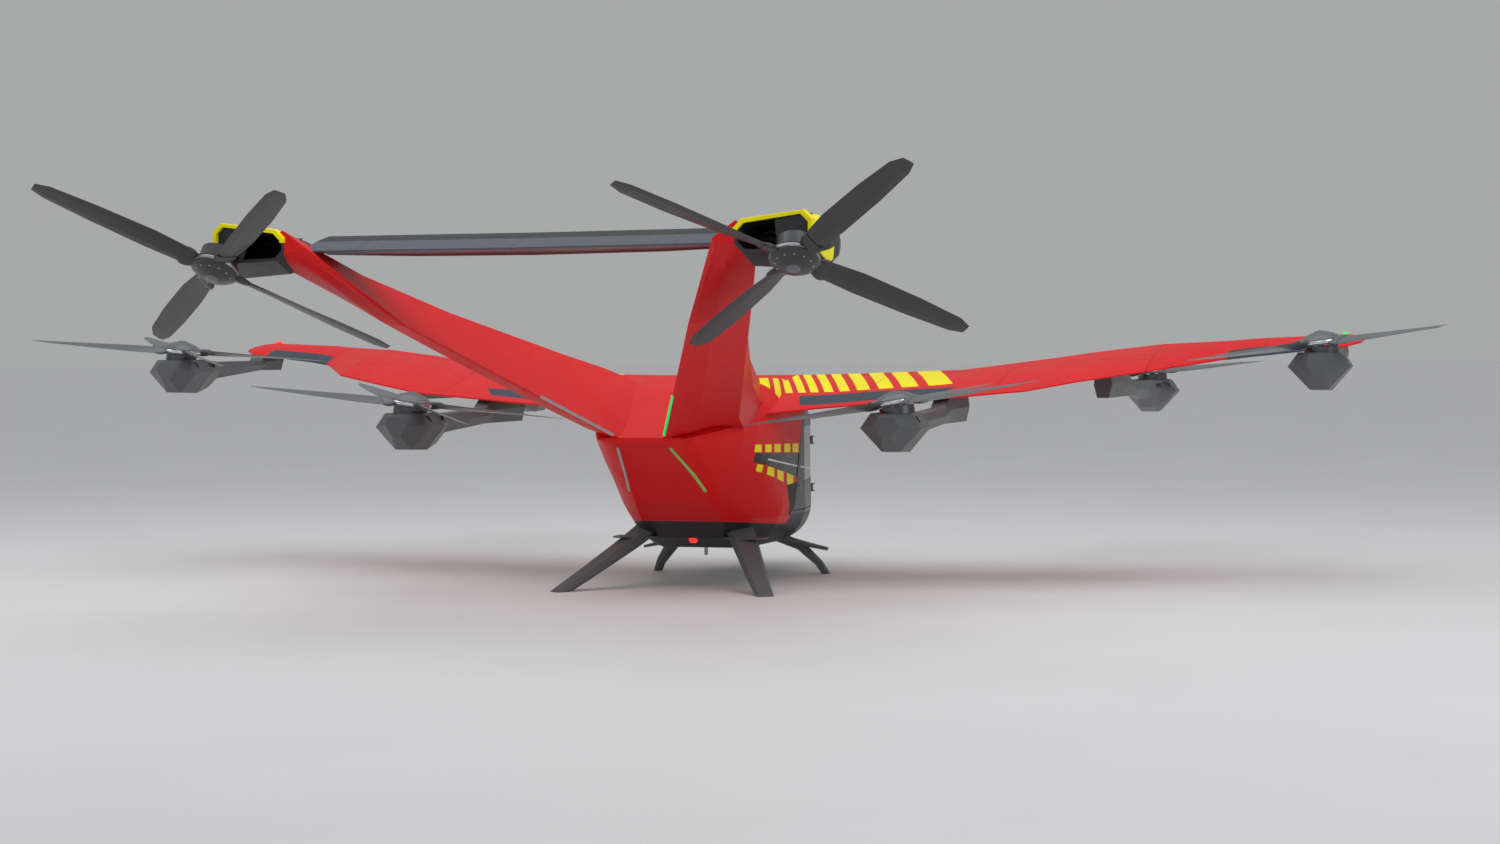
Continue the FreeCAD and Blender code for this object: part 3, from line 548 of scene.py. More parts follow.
@dataclass(frozen=True)
class Metal:
    """Turned or brushed metal with fine scratches.

    Args:
        name: The material's name.
        tint: The metal's colour.
        roughness: The mean roughness.
    """

    name: str
    tint: Tint = Tint.ALLOY
    roughness: float = 0.28

    def build(self) -> bpy.types.Material:
        """Make the material."""
        graph = Graph(self.name)
        scratch = graph.noise(30.0, 6.0, (1.0, 1.0, 9.0))
        colour = graph.ground(self.tint)
        colour = graph.shade(colour, graph.between(graph.noise(8.0, 3.0), 0.88, 1.08))
        smooth = graph.between(scratch, self.roughness - 0.08, self.roughness + 0.16)
        relief = graph.relief(scratch, 0.0003, 0.2)
        return graph.finish(Base_Color=colour, Metallic=1.0, Roughness=smooth, Normal=relief)


@dataclass(frozen=True)
class Lamp:
    """A lit lens: a ribbed clear cover over a coloured light.

    Args:
        name: The material's name.
        tint: The light's colour on the starboard side.
        strength: How bright it glows.
        port: The light's colour on the port side.
        low: Where given, the light's colour below a height, and that height.
    """

    name: str
    tint: Tint
    strength: float = 1.1
    port: Tint | None = None
    low: tuple[Tint, float] | None = None

    def build(self) -> bpy.types.Material:
        """Make the material."""
        graph = Graph(self.name)
        rib = graph.maths("SINE", graph.along(graph.place, (0.0, 420.0, 420.0)))
        starboard = graph.maths("GREATER_THAN", graph.along(graph.place, PORT_TO_STARBOARD), 0.0)
        other = self.tint if self.port is None else self.port
        lit = self.tint.value
        if self.low is not None:
            height = graph.along(graph.place, UPWARD)
            above = graph.maths("GREATER_THAN", height, self.low[1])
            lit = graph.blend(above, self.low[0].value, lit)
        colour = graph.blend(starboard, other.value, lit)
        colour = graph.shade(colour, graph.between(graph.noise(60.0, 2.0), 0.8, 1.1))
        return graph.finish(Base_Color=colour, Emission_Color=colour, Roughness=0.2,
                            Emission_Strength=self.strength,
                            Normal=graph.relief(rib, 0.0005, 0.4))


@dataclass(frozen=True)
class Cloth:
    """Upholstery cloth: a plain weave, soft colour changes and a little sheen.

    Args:
        name: The material's name.
        tint: The cloth's colour.
        pitch: Width of a thread in metres.
    """

    name: str
    tint: Tint = Tint.CABIN
    pitch: float = 0.0035

    def build(self) -> bpy.types.Material:
        """Make the material: threads are the larger of two crossed sines."""
        graph = Graph(self.name)
        turn = math.pi / self.pitch
        warp = graph.maths("SINE", graph.along(graph.place, (turn, 0.0, 0.0)))
        weft = graph.maths("SINE", graph.along(graph.place, (0.0, turn, turn)))
        weave = graph.between(graph.maths("MAXIMUM", warp, weft), 0.0, 1.0)
        colour = graph.ground(self.tint)
        cloud = graph.between(graph.noise(11.0, 5.0), 0.8, 1.2)
        thread = graph.maths("ADD", graph.maths("MULTIPLY", weave, 0.35), 0.75)
        colour = graph.shade(colour, graph.maths("MULTIPLY", cloud, thread))
        return graph.finish(Base_Color=colour, Roughness=0.9, Sheen_Weight=0.35,
                            Normal=graph.relief(weave, 0.0006, 0.5))


# Livery: places are read off the skin in the frame's own metres

WING_BLOCKS = Mark(
    view=View.PLAN,
    corners=((0.60, 0.36), (1.25, 0.51), (2.36, 0.70), (2.60, 0.74), (2.60, 1.95),
             (0.60, 1.65)),
    tint=Tint.YELLOW,
    slant=-0.37,
    spans=((0.70, 0.775), (0.83, 0.905), (0.955, 1.03), (1.085, 1.165), (1.215, 1.30),
           (1.36, 1.455),
           (1.52, 1.625), (1.705, 1.84), (1.93, 2.085), (2.17, 2.345), (2.45, 2.70)),
    beyond=(UPWARD, 1.74),
    port_from=1.30,
)
WING_INSET = Mark(
    view=View.PLAN,
    corners=((0.965, 0.325), (1.255, 0.405), (1.93, 0.57), (2.50, 0.625), (2.30, 0.30),
             (1.35, 0.085), (1.06, 0.0)),
    tint=Tint.PANEL,
)
ROOT_BLOCKS = Mark(
    view=View.PLAN,
    corners=((0.58, 0.02), (0.76, 0.20), (1.00, 0.40), (1.00, 1.65), (0.60, 1.65)),
    tint=Tint.YELLOW,
    slant=-0.37,
    spans=((0.665, 0.775), (0.83, 0.905), (0.955, 1.03), (1.085, 1.165), (1.215, 1.30)),
    beyond=(UPWARD, 1.74),
    port_from=1.30,
)
TAIL_BAND = Mark(
    view=View.PLAN,
    corners=((-2.5, -4.72), (2.5, -4.72), (2.5, -4.406), (-2.5, -4.406)),
    tint=Tint.PALE_PANEL,
)
FLANK_BLOCKS = Mark(
    view=View.FLANK,
    corners=((-0.56, 1.401), (-0.56, 1.330), (0.80, 1.276), (0.80, 1.366)),
    tint=Tint.YELLOW,
    spans=((-0.554, -0.399), (-0.302, -0.128), (-0.041, 0.158), (0.275, 0.485),
           (0.575, 0.785)),
)
LOWER_BLOCKS = Mark(
    view=View.FLANK,
    corners=((-0.52, 1.222), (-0.52, 1.146), (0.20, 1.012), (0.60, 0.930), (0.70, 0.955),
             (0.66, 1.045)),
    tint=Tint.YELLOW,
    spans=((-0.445, -0.335), (-0.237, -0.055), (0.047, 0.238), (0.365, 0.590)),
)
FLANK_SHADE = Mark(
    view=View.FLANK,
    corners=((0.36, 0.965), (0.80, 0.985), (0.52, 0.60)),
    tint=Tint.BLACK,
)
BELLY_RED = Mark(
    view=View.FLANK,
    corners=((-0.75, 0.70), (-0.60, 0.645), (0.10, 0.60), (0.54, 0.56), (0.57, 0.70)),
    tint=Tint.RED,
)
NACELLE_FLANK = Mark(
    view=View.FLANK,
    corners=((-5.00, 3.22), (-5.00, 3.46), (-4.62, 3.44), (-4.62, 3.27)),
    tint=Tint.YELLOW,
    beyond=(PORT_TO_STARBOARD, 2.57),
)
NACELLE_FLASH = Mark(
    view=View.FLANK,
    corners=((-4.845, 3.312), (-4.66, 3.305), (-4.81, 3.235)),
    tint=Tint.RED,
    beyond=(PORT_TO_STARBOARD, 2.57),
)
NACELLE_WEDGE = Mark(
    view=View.FLANK,
    corners=((-4.76, 3.07), (-4.44, 3.125), (-4.52, 2.95)),
    tint=Tint.YELLOW,
    beyond=(PORT_TO_STARBOARD, 2.57),
)


@dataclass
class Finishes:
    """Every material of the aircraft, by the name of the finish."""

    made: dict[str, bpy.types.Material] = field(default_factory=dict)

    def build(self) -> None:
        """Make all materials."""
        rib_lines = tuple(Seam(PORT_TO_STARBOARD, x, 0.005) for x in (1.60, 2.90, 4.30, 5.30))
        tail_lines = tuple(Seam(PORT_TO_STARBOARD, x, 0.005) for x in (0.0, 0.7, 1.4))
        spar_line = Seam((0.16, 1.0, 0.0), 1.95, 0.005)
        finishes = (
            Paint("body_paint", Tint.RED,
                  marks=(FLANK_BLOCKS, LOWER_BLOCKS, FLANK_SHADE, ROOT_BLOCKS)),
            Paint("wing_paint", Tint.RED, marks=(WING_BLOCKS, WING_INSET),
                  seams=rib_lines + (spar_line,)),
            Paint("fin_paint", Tint.RED),
            Paint("panel_paint", Tint.PANEL, roughness=0.4, seams=tail_lines),
            Paint("tail_paint", Tint.DARK_PANEL, roughness=0.4, marks=(TAIL_BAND,),
                  seams=tail_lines),
            Paint("elevator_paint", Tint.PALE_PANEL, roughness=0.4, seams=tail_lines[:1]),
            Paint("lip_paint", Tint.YELLOW),
            Moulding("belly_skin", Tint.BELLY, marks=(BELLY_RED,),
                     seams=(Seam(AFT_TO_NOSE, 0.1), Seam(AFT_TO_NOSE, 1.3))),
            Moulding("door_skin", Tint.FRAME, marks=(FLANK_SHADE,), roughness=0.3),
            Moulding("nose_skin", Tint.FRAME, marks=(FLANK_SHADE,), roughness=0.3),
            Moulding("pod_skin", Tint.POD, roughness=0.38),
            Moulding("nacelle_skin", Tint.NACELLE,
                     marks=(NACELLE_FLANK, NACELLE_FLASH, NACELLE_WEDGE)),
            Moulding("leg_skin", Tint.LEG, roughness=0.4),
            Moulding("cabin_lining", Tint.CABIN, roughness=0.7, grain=0.001),
            Moulding("battery_case", Tint.FRAME, roughness=0.5),
            Laminate("tail_blade_skin", Tint.BLADE),
            Laminate("wing_blade_skin", Tint.WING_BLADE, roughness=0.3),
            Glazing("glazing"),
            Metal("motor_metal"),
            Metal("lug_metal", Tint.SCREW, roughness=0.35),
            Metal("bright_metal", Tint.BRIGHT, roughness=0.22),
            Lamp("strip_lamp", Tint.GREEN_LAMP, strength=0.8, port=Tint.UNLIT,
                 low=(Tint.DIM_LAMP, 1.45)),
            Lamp("wing_lamp", Tint.GREEN_LAMP, port=Tint.RED_LAMP),
            Lamp("red_lamp", Tint.RED_LAMP),
            Lamp("display_face", Tint.DISPLAY, strength=0.6),
            Paint("white_trim", Tint.WHITE),
            Cloth("seat_cloth"),
            Cloth("webbing", Tint.WEBBING, pitch=0.002),
        )
        for finish in finishes:
            self.made[finish.name] = finish.build()
        LOG.info("finishes: %d materials", len(self.made))

    def dress(self, node: bpy.types.Object, name: str) -> None:
        """Put a finish in all of a piece's material slots."""
        if not node.material_slots:
            node.data.materials.append(self.made[name])
        for slot in node.material_slots:
            slot.material = self.made[name]


@dataclass
class Airframe:
    """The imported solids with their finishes.

    Args:
        frame: What the frame's loader returned.
        finishes: The aircraft's materials.
        exact: Finish by node name.
        starts: Finish by the start of a node's name.
    """

    frame: dict
    finishes: Finishes
    exact: dict[str, str] = field(default_factory=lambda: {
        "cabin_shell": "body_paint", "belly_pan": "belly_skin", "nose_frame": "nose_skin",
        "windscreen": "glazing", "cabin_floor": "cabin_lining", "seat_shells": "cabin_lining",
        "seat_pads": "seat_cloth", "seat_backs": "seat_cloth",
        "instrument_console": "cabin_lining", "battery_block": "battery_case",
        "flaps": "wing_paint", "ailerons": "panel_paint", "tailplane": "tail_paint",
        "elevator": "elevator_paint", "motors": "motor_metal", "tail_light_strips": "strip_lamp",
        "beacon": "red_lamp", "tie_down_lugs": "lug_metal", "nav_lights": "wing_lamp",
        "nacelle_lips": "lip_paint",
    })
    starts: dict[str, str] = field(default_factory=lambda: {
        "door_glass": "glazing", "quarter_window": "glazing", "door_": "door_skin",
        "wing_": "wing_paint", "fin_": "fin_paint", "pod_": "pod_skin",
        "nacelle_": "nacelle_skin", "leg_": "leg_skin", "rotor_tail": "tail_blade_skin",
        "rotor_": "wing_blade_skin",
    })

    def finish_of(self, node: str) -> str:
        """The finish that a node takes."""
        if node in self.exact:
            return self.exact[node]
        return next(name for start, name in self.starts.items() if node.startswith(start))

    def dress(self) -> None:
        """Give every node its finish."""
        for name, node in self.frame["nodes"].items():
            self.finishes.dress(node, self.finish_of(name))
            LOG.info("%s: %s", name, self.finish_of(name))


# Surfaces


def superellipse(count: int, half_width: float, half_height: float, power: float) -> np.ndarray:
    """Points round a superellipse.

    Formula: x is the half width times the cosine raised to the power, with its sign kept, and y
    the half height times the sine raised likewise; 1 gives an ellipse and 0 a rectangle.

    Args:
        count: Number of points.
        half_width: Half the width.
        half_height: Half the height.
        power: The power.

    Returns:
        An array of count rows and 2 columns.
    """
    turn = np.linspace(0.0, 2.0 * np.pi, count, endpoint=False)
    cosine, sine = np.cos(turn), np.sin(turn)
    return np.stack([half_width * np.sign(cosine) * np.abs(cosine) ** power,
                     half_height * np.sign(sine) * np.abs(sine) ** power], axis=1)


@dataclass
class Loft:
    """A closed surface through rings of points.

    Args:
        rings: Array of rings, points in a ring and 3 coordinates.
        closed: Whether the last ring joins the first, as on a torus; else both ends are capped.
    """

    rings: np.ndarray
    closed: bool = False

    def faces(self, start: int = 0) -> list[list[int]]:
        """The quads between rings, and the two caps, for points numbered from a start.

        Args:
            start: Number of the first point.

        Returns:
            Lists of point numbers.
        """
        count, around = self.rings.shape[:2]
        ring = np.arange(count if self.closed else count - 1)[:, None]
        point = np.arange(around)[None, :]
        after, beside = (ring + 1) % count, (point + 1) % around
        quads = np.stack(np.broadcast_arrays(ring * around + point, ring * around + beside,
                                             after * around + beside,
                                             after * around + point), axis=-1)
        faces = (quads.reshape(-1, 4) + start).tolist()
        if not self.closed:
            faces.append((start + np.arange(around)[::-1]).tolist())
            faces.append((start + (count - 1) * around + np.arange(around)).tolist())
        return faces


@dataclass
class Workshop:
    """Makes visible pieces and records where they ride.

    Args:
        finishes: The aircraft's materials.
        count: How many pieces are made.
    """

    finishes: Finishes
    count: int = 0

    def make(self, name: str, lofts: list[Loft], finish: str, body: str,
             smooth: bool = True) -> bpy.types.Object:
        """Make one piece of one or more closed surfaces, with its faces outwards.

        Args:
            name: The piece's name.
            lofts: Its surfaces.
            finish: Name of its finish.
            body: Name of the body that it rides on.
            smooth: Whether its faces are shaded smooth up to 35 degrees.

        Returns:
            The piece.
        """
        points, faces, start = [], [], 0
        for loft in lofts:
            points.append(loft.rings.reshape(-1, 3))
            faces += loft.faces(start)
            start += points[-1].shape[0]
        mesh = bpy.data.meshes.new(name)
        mesh.from_pydata(np.concatenate(points).tolist(), [], faces)
        edit = bmesh.new()
        edit.from_mesh(mesh)
        bmesh.ops.recalc_face_normals(edit, faces=edit.faces)
        edit.to_mesh(mesh)
        edit.free()
        piece = bpy.data.objects.new(name, mesh)
        bpy.context.scene.collection.objects.link(piece)
        if smooth:
            mesh.shade_smooth()
            mesh.set_sharp_from_angle(angle=math.radians(35.0))
        self.finishes.dress(piece, finish)
        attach(piece, body)
        self.count += 1
        LOG.info("%s: %d faces on %s", name, len(mesh.polygons), body)
        return piece


class Skin:
    """The outside of a mesh, for seating other pieces on it."""

    def __init__(self, *nodes: bpy.types.Object) -> None:
        """Read the triangles of one or more meshes."""
        points, faces, start = [], [], 0
        for node in nodes:
            mesh = node.data
            places = np.zeros(len(mesh.vertices) * 3)
            mesh.vertices.foreach_get("co", places)
            points.append(places.reshape(-1, 3))
            faces += [[start + i for i in face.vertices] for face in mesh.polygons]
            start += len(mesh.vertices)
        self.tree = BVHTree.FromPolygons(np.concatenate(points).tolist(), faces)

    def hit(self, start: Vec3, run: Vec3) -> tuple[np.ndarray, np.ndarray] | None:
        """Where a ray meets the skin.

        Args:
            start: The ray's start.
            run: Its direction.

        Returns:
            The point and the skin's direction there, towards the start, or None.
        """
        place, normal, _, _ = self.tree.ray_cast(start, run)
        if place is None:
            return None
        normal = np.asarray(normal)
        return np.asarray(place), -normal * np.sign(normal @ np.asarray(run))


def ribbon(places: np.ndarray, normals: np.ndarray, width: float, thickness: float,
           lift: float = 0.0, power: float = 0.35) -> Loft:
    """A flat strip with rounded edges laid along points of a skin.

    Formula: each ring is a superellipse in the plane of the skin's direction and the cross
    product of that direction with the run of the points.

    Args:
        places: Points on the skin.
        normals: The skin's direction at each point.
        width: The strip's width.
        thickness: Its thickness.
        lift: How far its middle lies above the skin.
        power: How square its section is.

    Returns:
        The strip's surface.
    """
    run = np.gradient(places, axis=0)
    across = np.cross(run, normals)
    across = across / np.linalg.norm(across, axis=1)[:, None]
    section = superellipse(12, width / 2, thickness / 2, power)
    middle = places + normals * lift
    rings = (middle[:, None, :] + section[None, :, :1] * across[:, None, :]
             + section[None, :, 1:] * normals[:, None, :])
    return Loft(rings)


# Rotors


@dataclass(frozen=True)
class RotorTrim:
    """What is fixed on one rotor's hub, in the rotor's own axes.

    Args:
        radius: The hub's radius.
        band_high: Height of the bright band round the hub.
        band_proud: How far the band stands out.
        dome_foot: Height at which the dome starts.
        dome_height: The dome's height.
        cap_radius: Radius of the cap at the dome's crown.
        screw_circle: Radius of the circle of screws.
        screw_radius: A screw head's radius.
        screws: Number of screws.
        cuff_start: Where a blade's cuff starts, from the axis.
        cuff_end: Where it ends.
        blades: Number of blades.
        phase: Angle of the first blade in degrees.
    """

    radius: float = 0.196
    band_high: float = 0.030
    band_proud: float = 0.005
    dome_foot: float = 0.030
    dome_height: float = 0.074
    cap_radius: float = 0.046
    screw_circle: float = 0.150
    screw_radius: float = 0.008
    screws: int = 12
    cuff_start: float = 0.180
    cuff_end: float = 0.300
    blades: int = 4
    phase: float = 45.0

    def dome(self, reach: np.ndarray) -> np.ndarray:
        """Height of the dome at a distance from the axis: the cap of one sphere."""
        ball = (self.radius ** 2 + self.dome_height ** 2) / (2.0 * self.dome_height)
        centre = self.dome_foot + self.dome_height - ball
        return centre + np.sqrt(np.maximum(ball ** 2 - reach ** 2, 0.0))

    def turned(self, radii: np.ndarray, heights: np.ndarray, closed: bool,
               count: int = 72) -> Loft:
        """A surface of revolution: each profile point is carried round the axis."""
        turn = np.linspace(0.0, 2.0 * np.pi, count, endpoint=False)
        rings = np.stack([radii[:, None] * np.cos(turn), radii[:, None] * np.sin(turn),
                          np.broadcast_to(heights[:, None], (len(radii), count))], axis=-1)
        return Loft(rings, closed)

    def band(self) -> Loft:
        """A band whose section is a superellipse centred on the hub's edge."""
        section = superellipse(20, self.band_proud, self.band_high / 2, 0.6)
        return self.turned(self.radius + section[:, 0], section[:, 1] + 0.004, True)

    def cap(self) -> list[Loft]:
        """A stepped cap on the dome's crown, with a groove round it."""
        reach = self.cap_radius
        radii = np.array([1.25, 1.22, 1.05, 1.0, 0.97, 0.80, 0.40, 0.05]) * reach
        rises = np.array([-0.004, 0.0008, 0.0010, 0.0030, 0.0050, 0.0065, 0.0075, 0.0078])
        return [self.turned(radii, self.dome(radii) + rises, False, 48)]

    def screw_heads(self) -> list[Loft]:
        """Low domed heads in a circle on the dome."""
        lofts = []
        for index in range(self.screws):
            turn = 2.0 * math.pi * (index + 0.5) / self.screws
            head = self.turned(np.array([1.0, 1.0, 0.8, 0.2]) * self.screw_radius,
                               np.array([-0.004, 0.0015, 0.0030, 0.0036]), False, 16)
            middle = np.array([math.cos(turn), math.sin(turn), 0.0]) * self.screw_circle
            middle[2] = self.dome(np.array(self.screw_circle))
            lofts.append(Loft(head.rings + middle))
        return lofts

    def cuffs(self, hand: float, root: "BladeRoot") -> list[Loft]:
        """A sleeve round each blade's root.

        Formula: superellipse rings whose width and thickness swell by a sine between the
        sleeve's ends and which are turned by the blade's twist.

        Args:
            hand: 1 or -1, for the way that the rotor turns.
            root: The blade's root.

        Returns:
            One surface for each blade.
        """
        share = np.linspace(0.0, 1.0, 9)
        swell = 1.0 + 0.22 * np.sin(np.pi * share)
        reach = self.cuff_start + share * (self.cuff_end - self.cuff_start)
        section = superellipse(28, 0.5, 0.5, 0.8)
        wide = section[None, :, 0] * (root.chord * (0.78 + 0.26 * share) * swell)[:, None]
        high = section[None, :, 1] * (root.thick * (1.45 - 0.30 * share) * swell)[:, None]
        lean = math.radians(root.twist)
        flat = hand * (wide * math.cos(lean) - high * math.sin(lean))
        rise = wide * math.sin(lean) + high * math.cos(lean)
        lofts = []
        for index in range(self.blades):
            turn = math.radians(self.phase + index * 360.0 / self.blades)
            out = np.array([math.cos(turn), math.sin(turn), 0.0])
            side = np.array([-math.sin(turn), math.cos(turn), 0.0])
            rings = (reach[:, None, None] * out + flat[:, :, None] * side
                     + rise[:, :, None] * np.array([0.0, 0.0, 1.0]))
            lofts.append(Loft(rings))
        return lofts


@dataclass(frozen=True)
class BladeRoot:
    """What a cuff goes round.

    Args:
        twist: The blade's twist there in degrees.
        chord: Its chord there.
        thick: Its thickness there.
    """

    twist: float
    chord: float
    thick: float


WING_BLADE_ROOT = BladeRoot(24.0, 0.150, 0.034)
TAIL_BLADE_ROOT = BladeRoot(26.0, 0.168, 0.038)


@dataclass
class Rotors:
    """The trim of all eight rotors, placed by their joints.

    Args:
        frame: What the frame's loader returned.
        workshop: Where pieces are made.
        trim: The sizes of one rotor's trim.
    """

    frame: dict
    workshop: Workshop
    trim: RotorTrim = RotorTrim()

    def placed(self, loft: Loft, joint: dict) -> Loft:
        """Carry a surface from the rotor's axes to its joint.

        Args:
            loft: The surface, with the axis along Z.
            joint: The rotor's joint.

        Returns:
            The surface in the frame.
        """
        axis = np.asarray(joint["axis"])
        across = np.array([1.0, 0.0, 0.0]) - axis * axis[0]
        across = across / np.linalg.norm(across)
        turn = np.stack([across, np.cross(axis, across), axis])
        return Loft(loft.rings @ turn + np.asarray(joint["pos_m"]), loft.closed)

    def build(self) -> None:
        """Add a band, a cap, screws and cuffs to every rotor."""
        for joint in self.frame["joints"]:
            if not joint["child"].startswith("rotor_"):
                continue
            body = joint["child"]
            name = body.removeprefix("rotor_")
            tail = name.startswith("tail")
            root = TAIL_BLADE_ROOT if tail else WING_BLADE_ROOT
            skin = "tail_blade_skin" if tail else "wing_blade_skin"
            hand = (-1.0 if tail else 1.0) * (1.0 if name.endswith("right") else -1.0)
            sets = (
                ("hub_band", [self.trim.band()], "lug_metal" if tail else "bright_metal"),
                ("hub_cap", self.trim.cap(), "wing_blade_skin"),
                ("hub_screws", self.trim.screw_heads(), "lug_metal"),
                ("blade_cuffs", self.trim.cuffs(hand, root), skin),
            )
            for kind, lofts, finish in sets:
                self.workshop.make(f"{kind}_{name}", [self.placed(one, joint) for one in lofts],
                                   finish, body)


# Seats


@dataclass(frozen=True)
class Cushion:
    """A padded cushion that swells in a box and is sewn along lines.

    Args:
        name: The cushion's name.
        low: The box's lowest corner before it is raked.
        high: Its highest corner.
        face: 2 for a cushion that faces up, 1 for one that faces forward.
        rake: How far the top of a back lies behind its foot.
        along: Shares of the width at which channels run lengthwise.
        across: Shares of the length at which channels run crosswise.
        voxel: The remeshing size.
        quick_voxel: Not used.
        cap: The most that a point may move while the cushion swells.
        pressure: The cloth's inner pressure.
        steps: Frames of simulation.
        squareness: Power of the slack shape's sines; less is squarer.
        channel_depth: Depth of a sewn channel.
        channel_width: Half its width.
    """

    name: str
    low: Vec3
    high: Vec3
    face: int
    rake: float
    along: tuple[float, ...]
    across: tuple[float, ...]
    voxel: float = 0.006
    quick_voxel: float = 0.012
    cap: float = 0.026
    pressure: float = 4.0
    steps: int = 20
    squareness: float = 0.42
    channel_depth: float = 0.011
    channel_width: float = 0.010

    def slack(self) -> bpy.types.Object:
        """The cushion before it swells.

        Formula: a superquadric, whose three coordinates are products of sines and cosines of
        two angles raised to small powers with their signs kept; its poles are closed.

        Returns:
            A loose object.
        """
        count = 40
        turn = np.linspace(0.0, 2.0 * np.pi, 2 * count, endpoint=False)
        lean = np.linspace(-np.pi / 2, np.pi / 2, count + 1)[1:-1]

        def squared(value: np.ndarray) -> np.ndarray:
            """A share pushed towards -1 or 1."""
            return np.sign(value) * np.abs(value) ** self.squareness

        wide = squared(np.cos(lean))[:, None] * squared(np.cos(turn))[None, :]
        long = squared(np.cos(lean))[:, None] * squared(np.sin(turn))[None, :]
        deep = np.broadcast_to(squared(np.sin(lean))[:, None], wide.shape)
        half = (np.asarray(self.high) - np.asarray(self.low)) / 2
        half = half - np.where(np.arange(3) == self.face, 0.016, 0.012)
        axes = [wide, long, deep] if self.face == 2 else [wide, deep, long]
        points = np.stack(axes, axis=-1) * half
        ends = np.zeros((2, 3))
        ends[:, self.face] = [-half[self.face], half[self.face]]
        rings = np.concatenate([np.broadcast_to(ends[0], points[:1].shape), points,
                                np.broadcast_to(ends[1], points[:1].shape)])
        loft = Loft(rings)
        mesh = bpy.data.meshes.new(self.name)
        mesh.from_pydata(rings.reshape(-1, 3).tolist(), [], loft.faces())
        edit = bmesh.new()
        edit.from_mesh(mesh)
        bmesh.ops.remove_doubles(edit, verts=edit.verts, dist=1e-5)
        bmesh.ops.recalc_face_normals(edit, faces=edit.faces)
        edit.to_mesh(mesh)
        edit.free()
        piece = bpy.data.objects.new(self.name, mesh)
        bpy.context.scene.collection.objects.link(piece)
        return piece

    def swollen(self) -> tuple[np.ndarray, list[list[int]]]:
        """Remesh the slack cushion and let pressure fill it.

        Returns:
            The points about the box's middle, and the faces.
        """
        piece = self.slack()
        bpy.context.view_layer.objects.active = piece
        remesh = piece.modifiers.new("remesh", "REMESH")
        remesh.mode = "VOXEL"
        remesh.voxel_size = self.voxel
        bpy.ops.object.modifier_apply(modifier=remesh.name)
        count = len(piece.data.vertices)
        before = np.zeros(count * 3)
        piece.data.vertices.foreach_get("co", before)
        after = before
        cloth = piece.modifiers.new("swell", "CLOTH")
        cloth.settings.use_pressure = True
        cloth.settings.uniform_pressure_force = self.pressure
        cloth.settings.effector_weights.gravity = 0.0
        for step in range(1, self.steps + 1):
            bpy.context.scene.frame_set(step)
        done = piece.evaluated_get(bpy.context.evaluated_depsgraph_get())
        after = np.zeros(count * 3)
        done.data.vertices.foreach_get("co", after)
        piece.modifiers.remove(cloth)
        bpy.context.scene.frame_set(1)
        before, after = before.reshape(-1, 3), after.reshape(-1, 3)
        move = after - before
        length = np.linalg.norm(move, axis=1)[:, None]
        move = move * np.minimum(1.0, self.cap / np.maximum(length, 1e-9))
        faces = [list(face.vertices) for face in piece.data.polygons]
        bpy.data.objects.remove(piece)
        return before + move, faces

    def sewn(self, points: np.ndarray) -> np.ndarray:
        """Fit the swollen cushion in its box, press the channels in and rake it.

        Formula: a channel lowers the face by a bell curve of the distance to its line, and a
        shallower one runs all round at half the depth.

        Args:
            points: The swollen points about the box's middle.

        Returns:
            The points in the frame.
        """
        low, high = np.asarray(self.low), np.asarray(self.high)
        half = (high - low) / 2
        middle = (points.max(0) + points.min(0)) / 2
        points = (points - middle) / (points.max(0) - points.min(0)) * 2 * half * 0.995
        share = points / half
        length = 1 if self.face == 2 else 2
        facing = np.clip(share[:, self.face] * 2.0, 0.0, 1.0)
        depth = np.zeros(len(points))
        for axis, lines in ((0, self.along), (length, self.across)):
            for line in lines:
                away = (share[:, axis] - line) * half[axis] / self.channel_width
                depth += self.channel_depth * np.exp(-away ** 2)
        points[:, self.face] -= depth * facing
        rim = np.exp(-(points[:, self.face] / 0.006) ** 2)
        for axis in {0, length}:
            points[:, axis] -= np.sign(share[:, axis]) * rim * 0.004 * np.abs(share[:, axis]) ** 6
        points = points + (low + high) / 2
        points[:, 1] -= self.rake * (points[:, 2] - low[2]) / (high[2] - low[2])
        return points


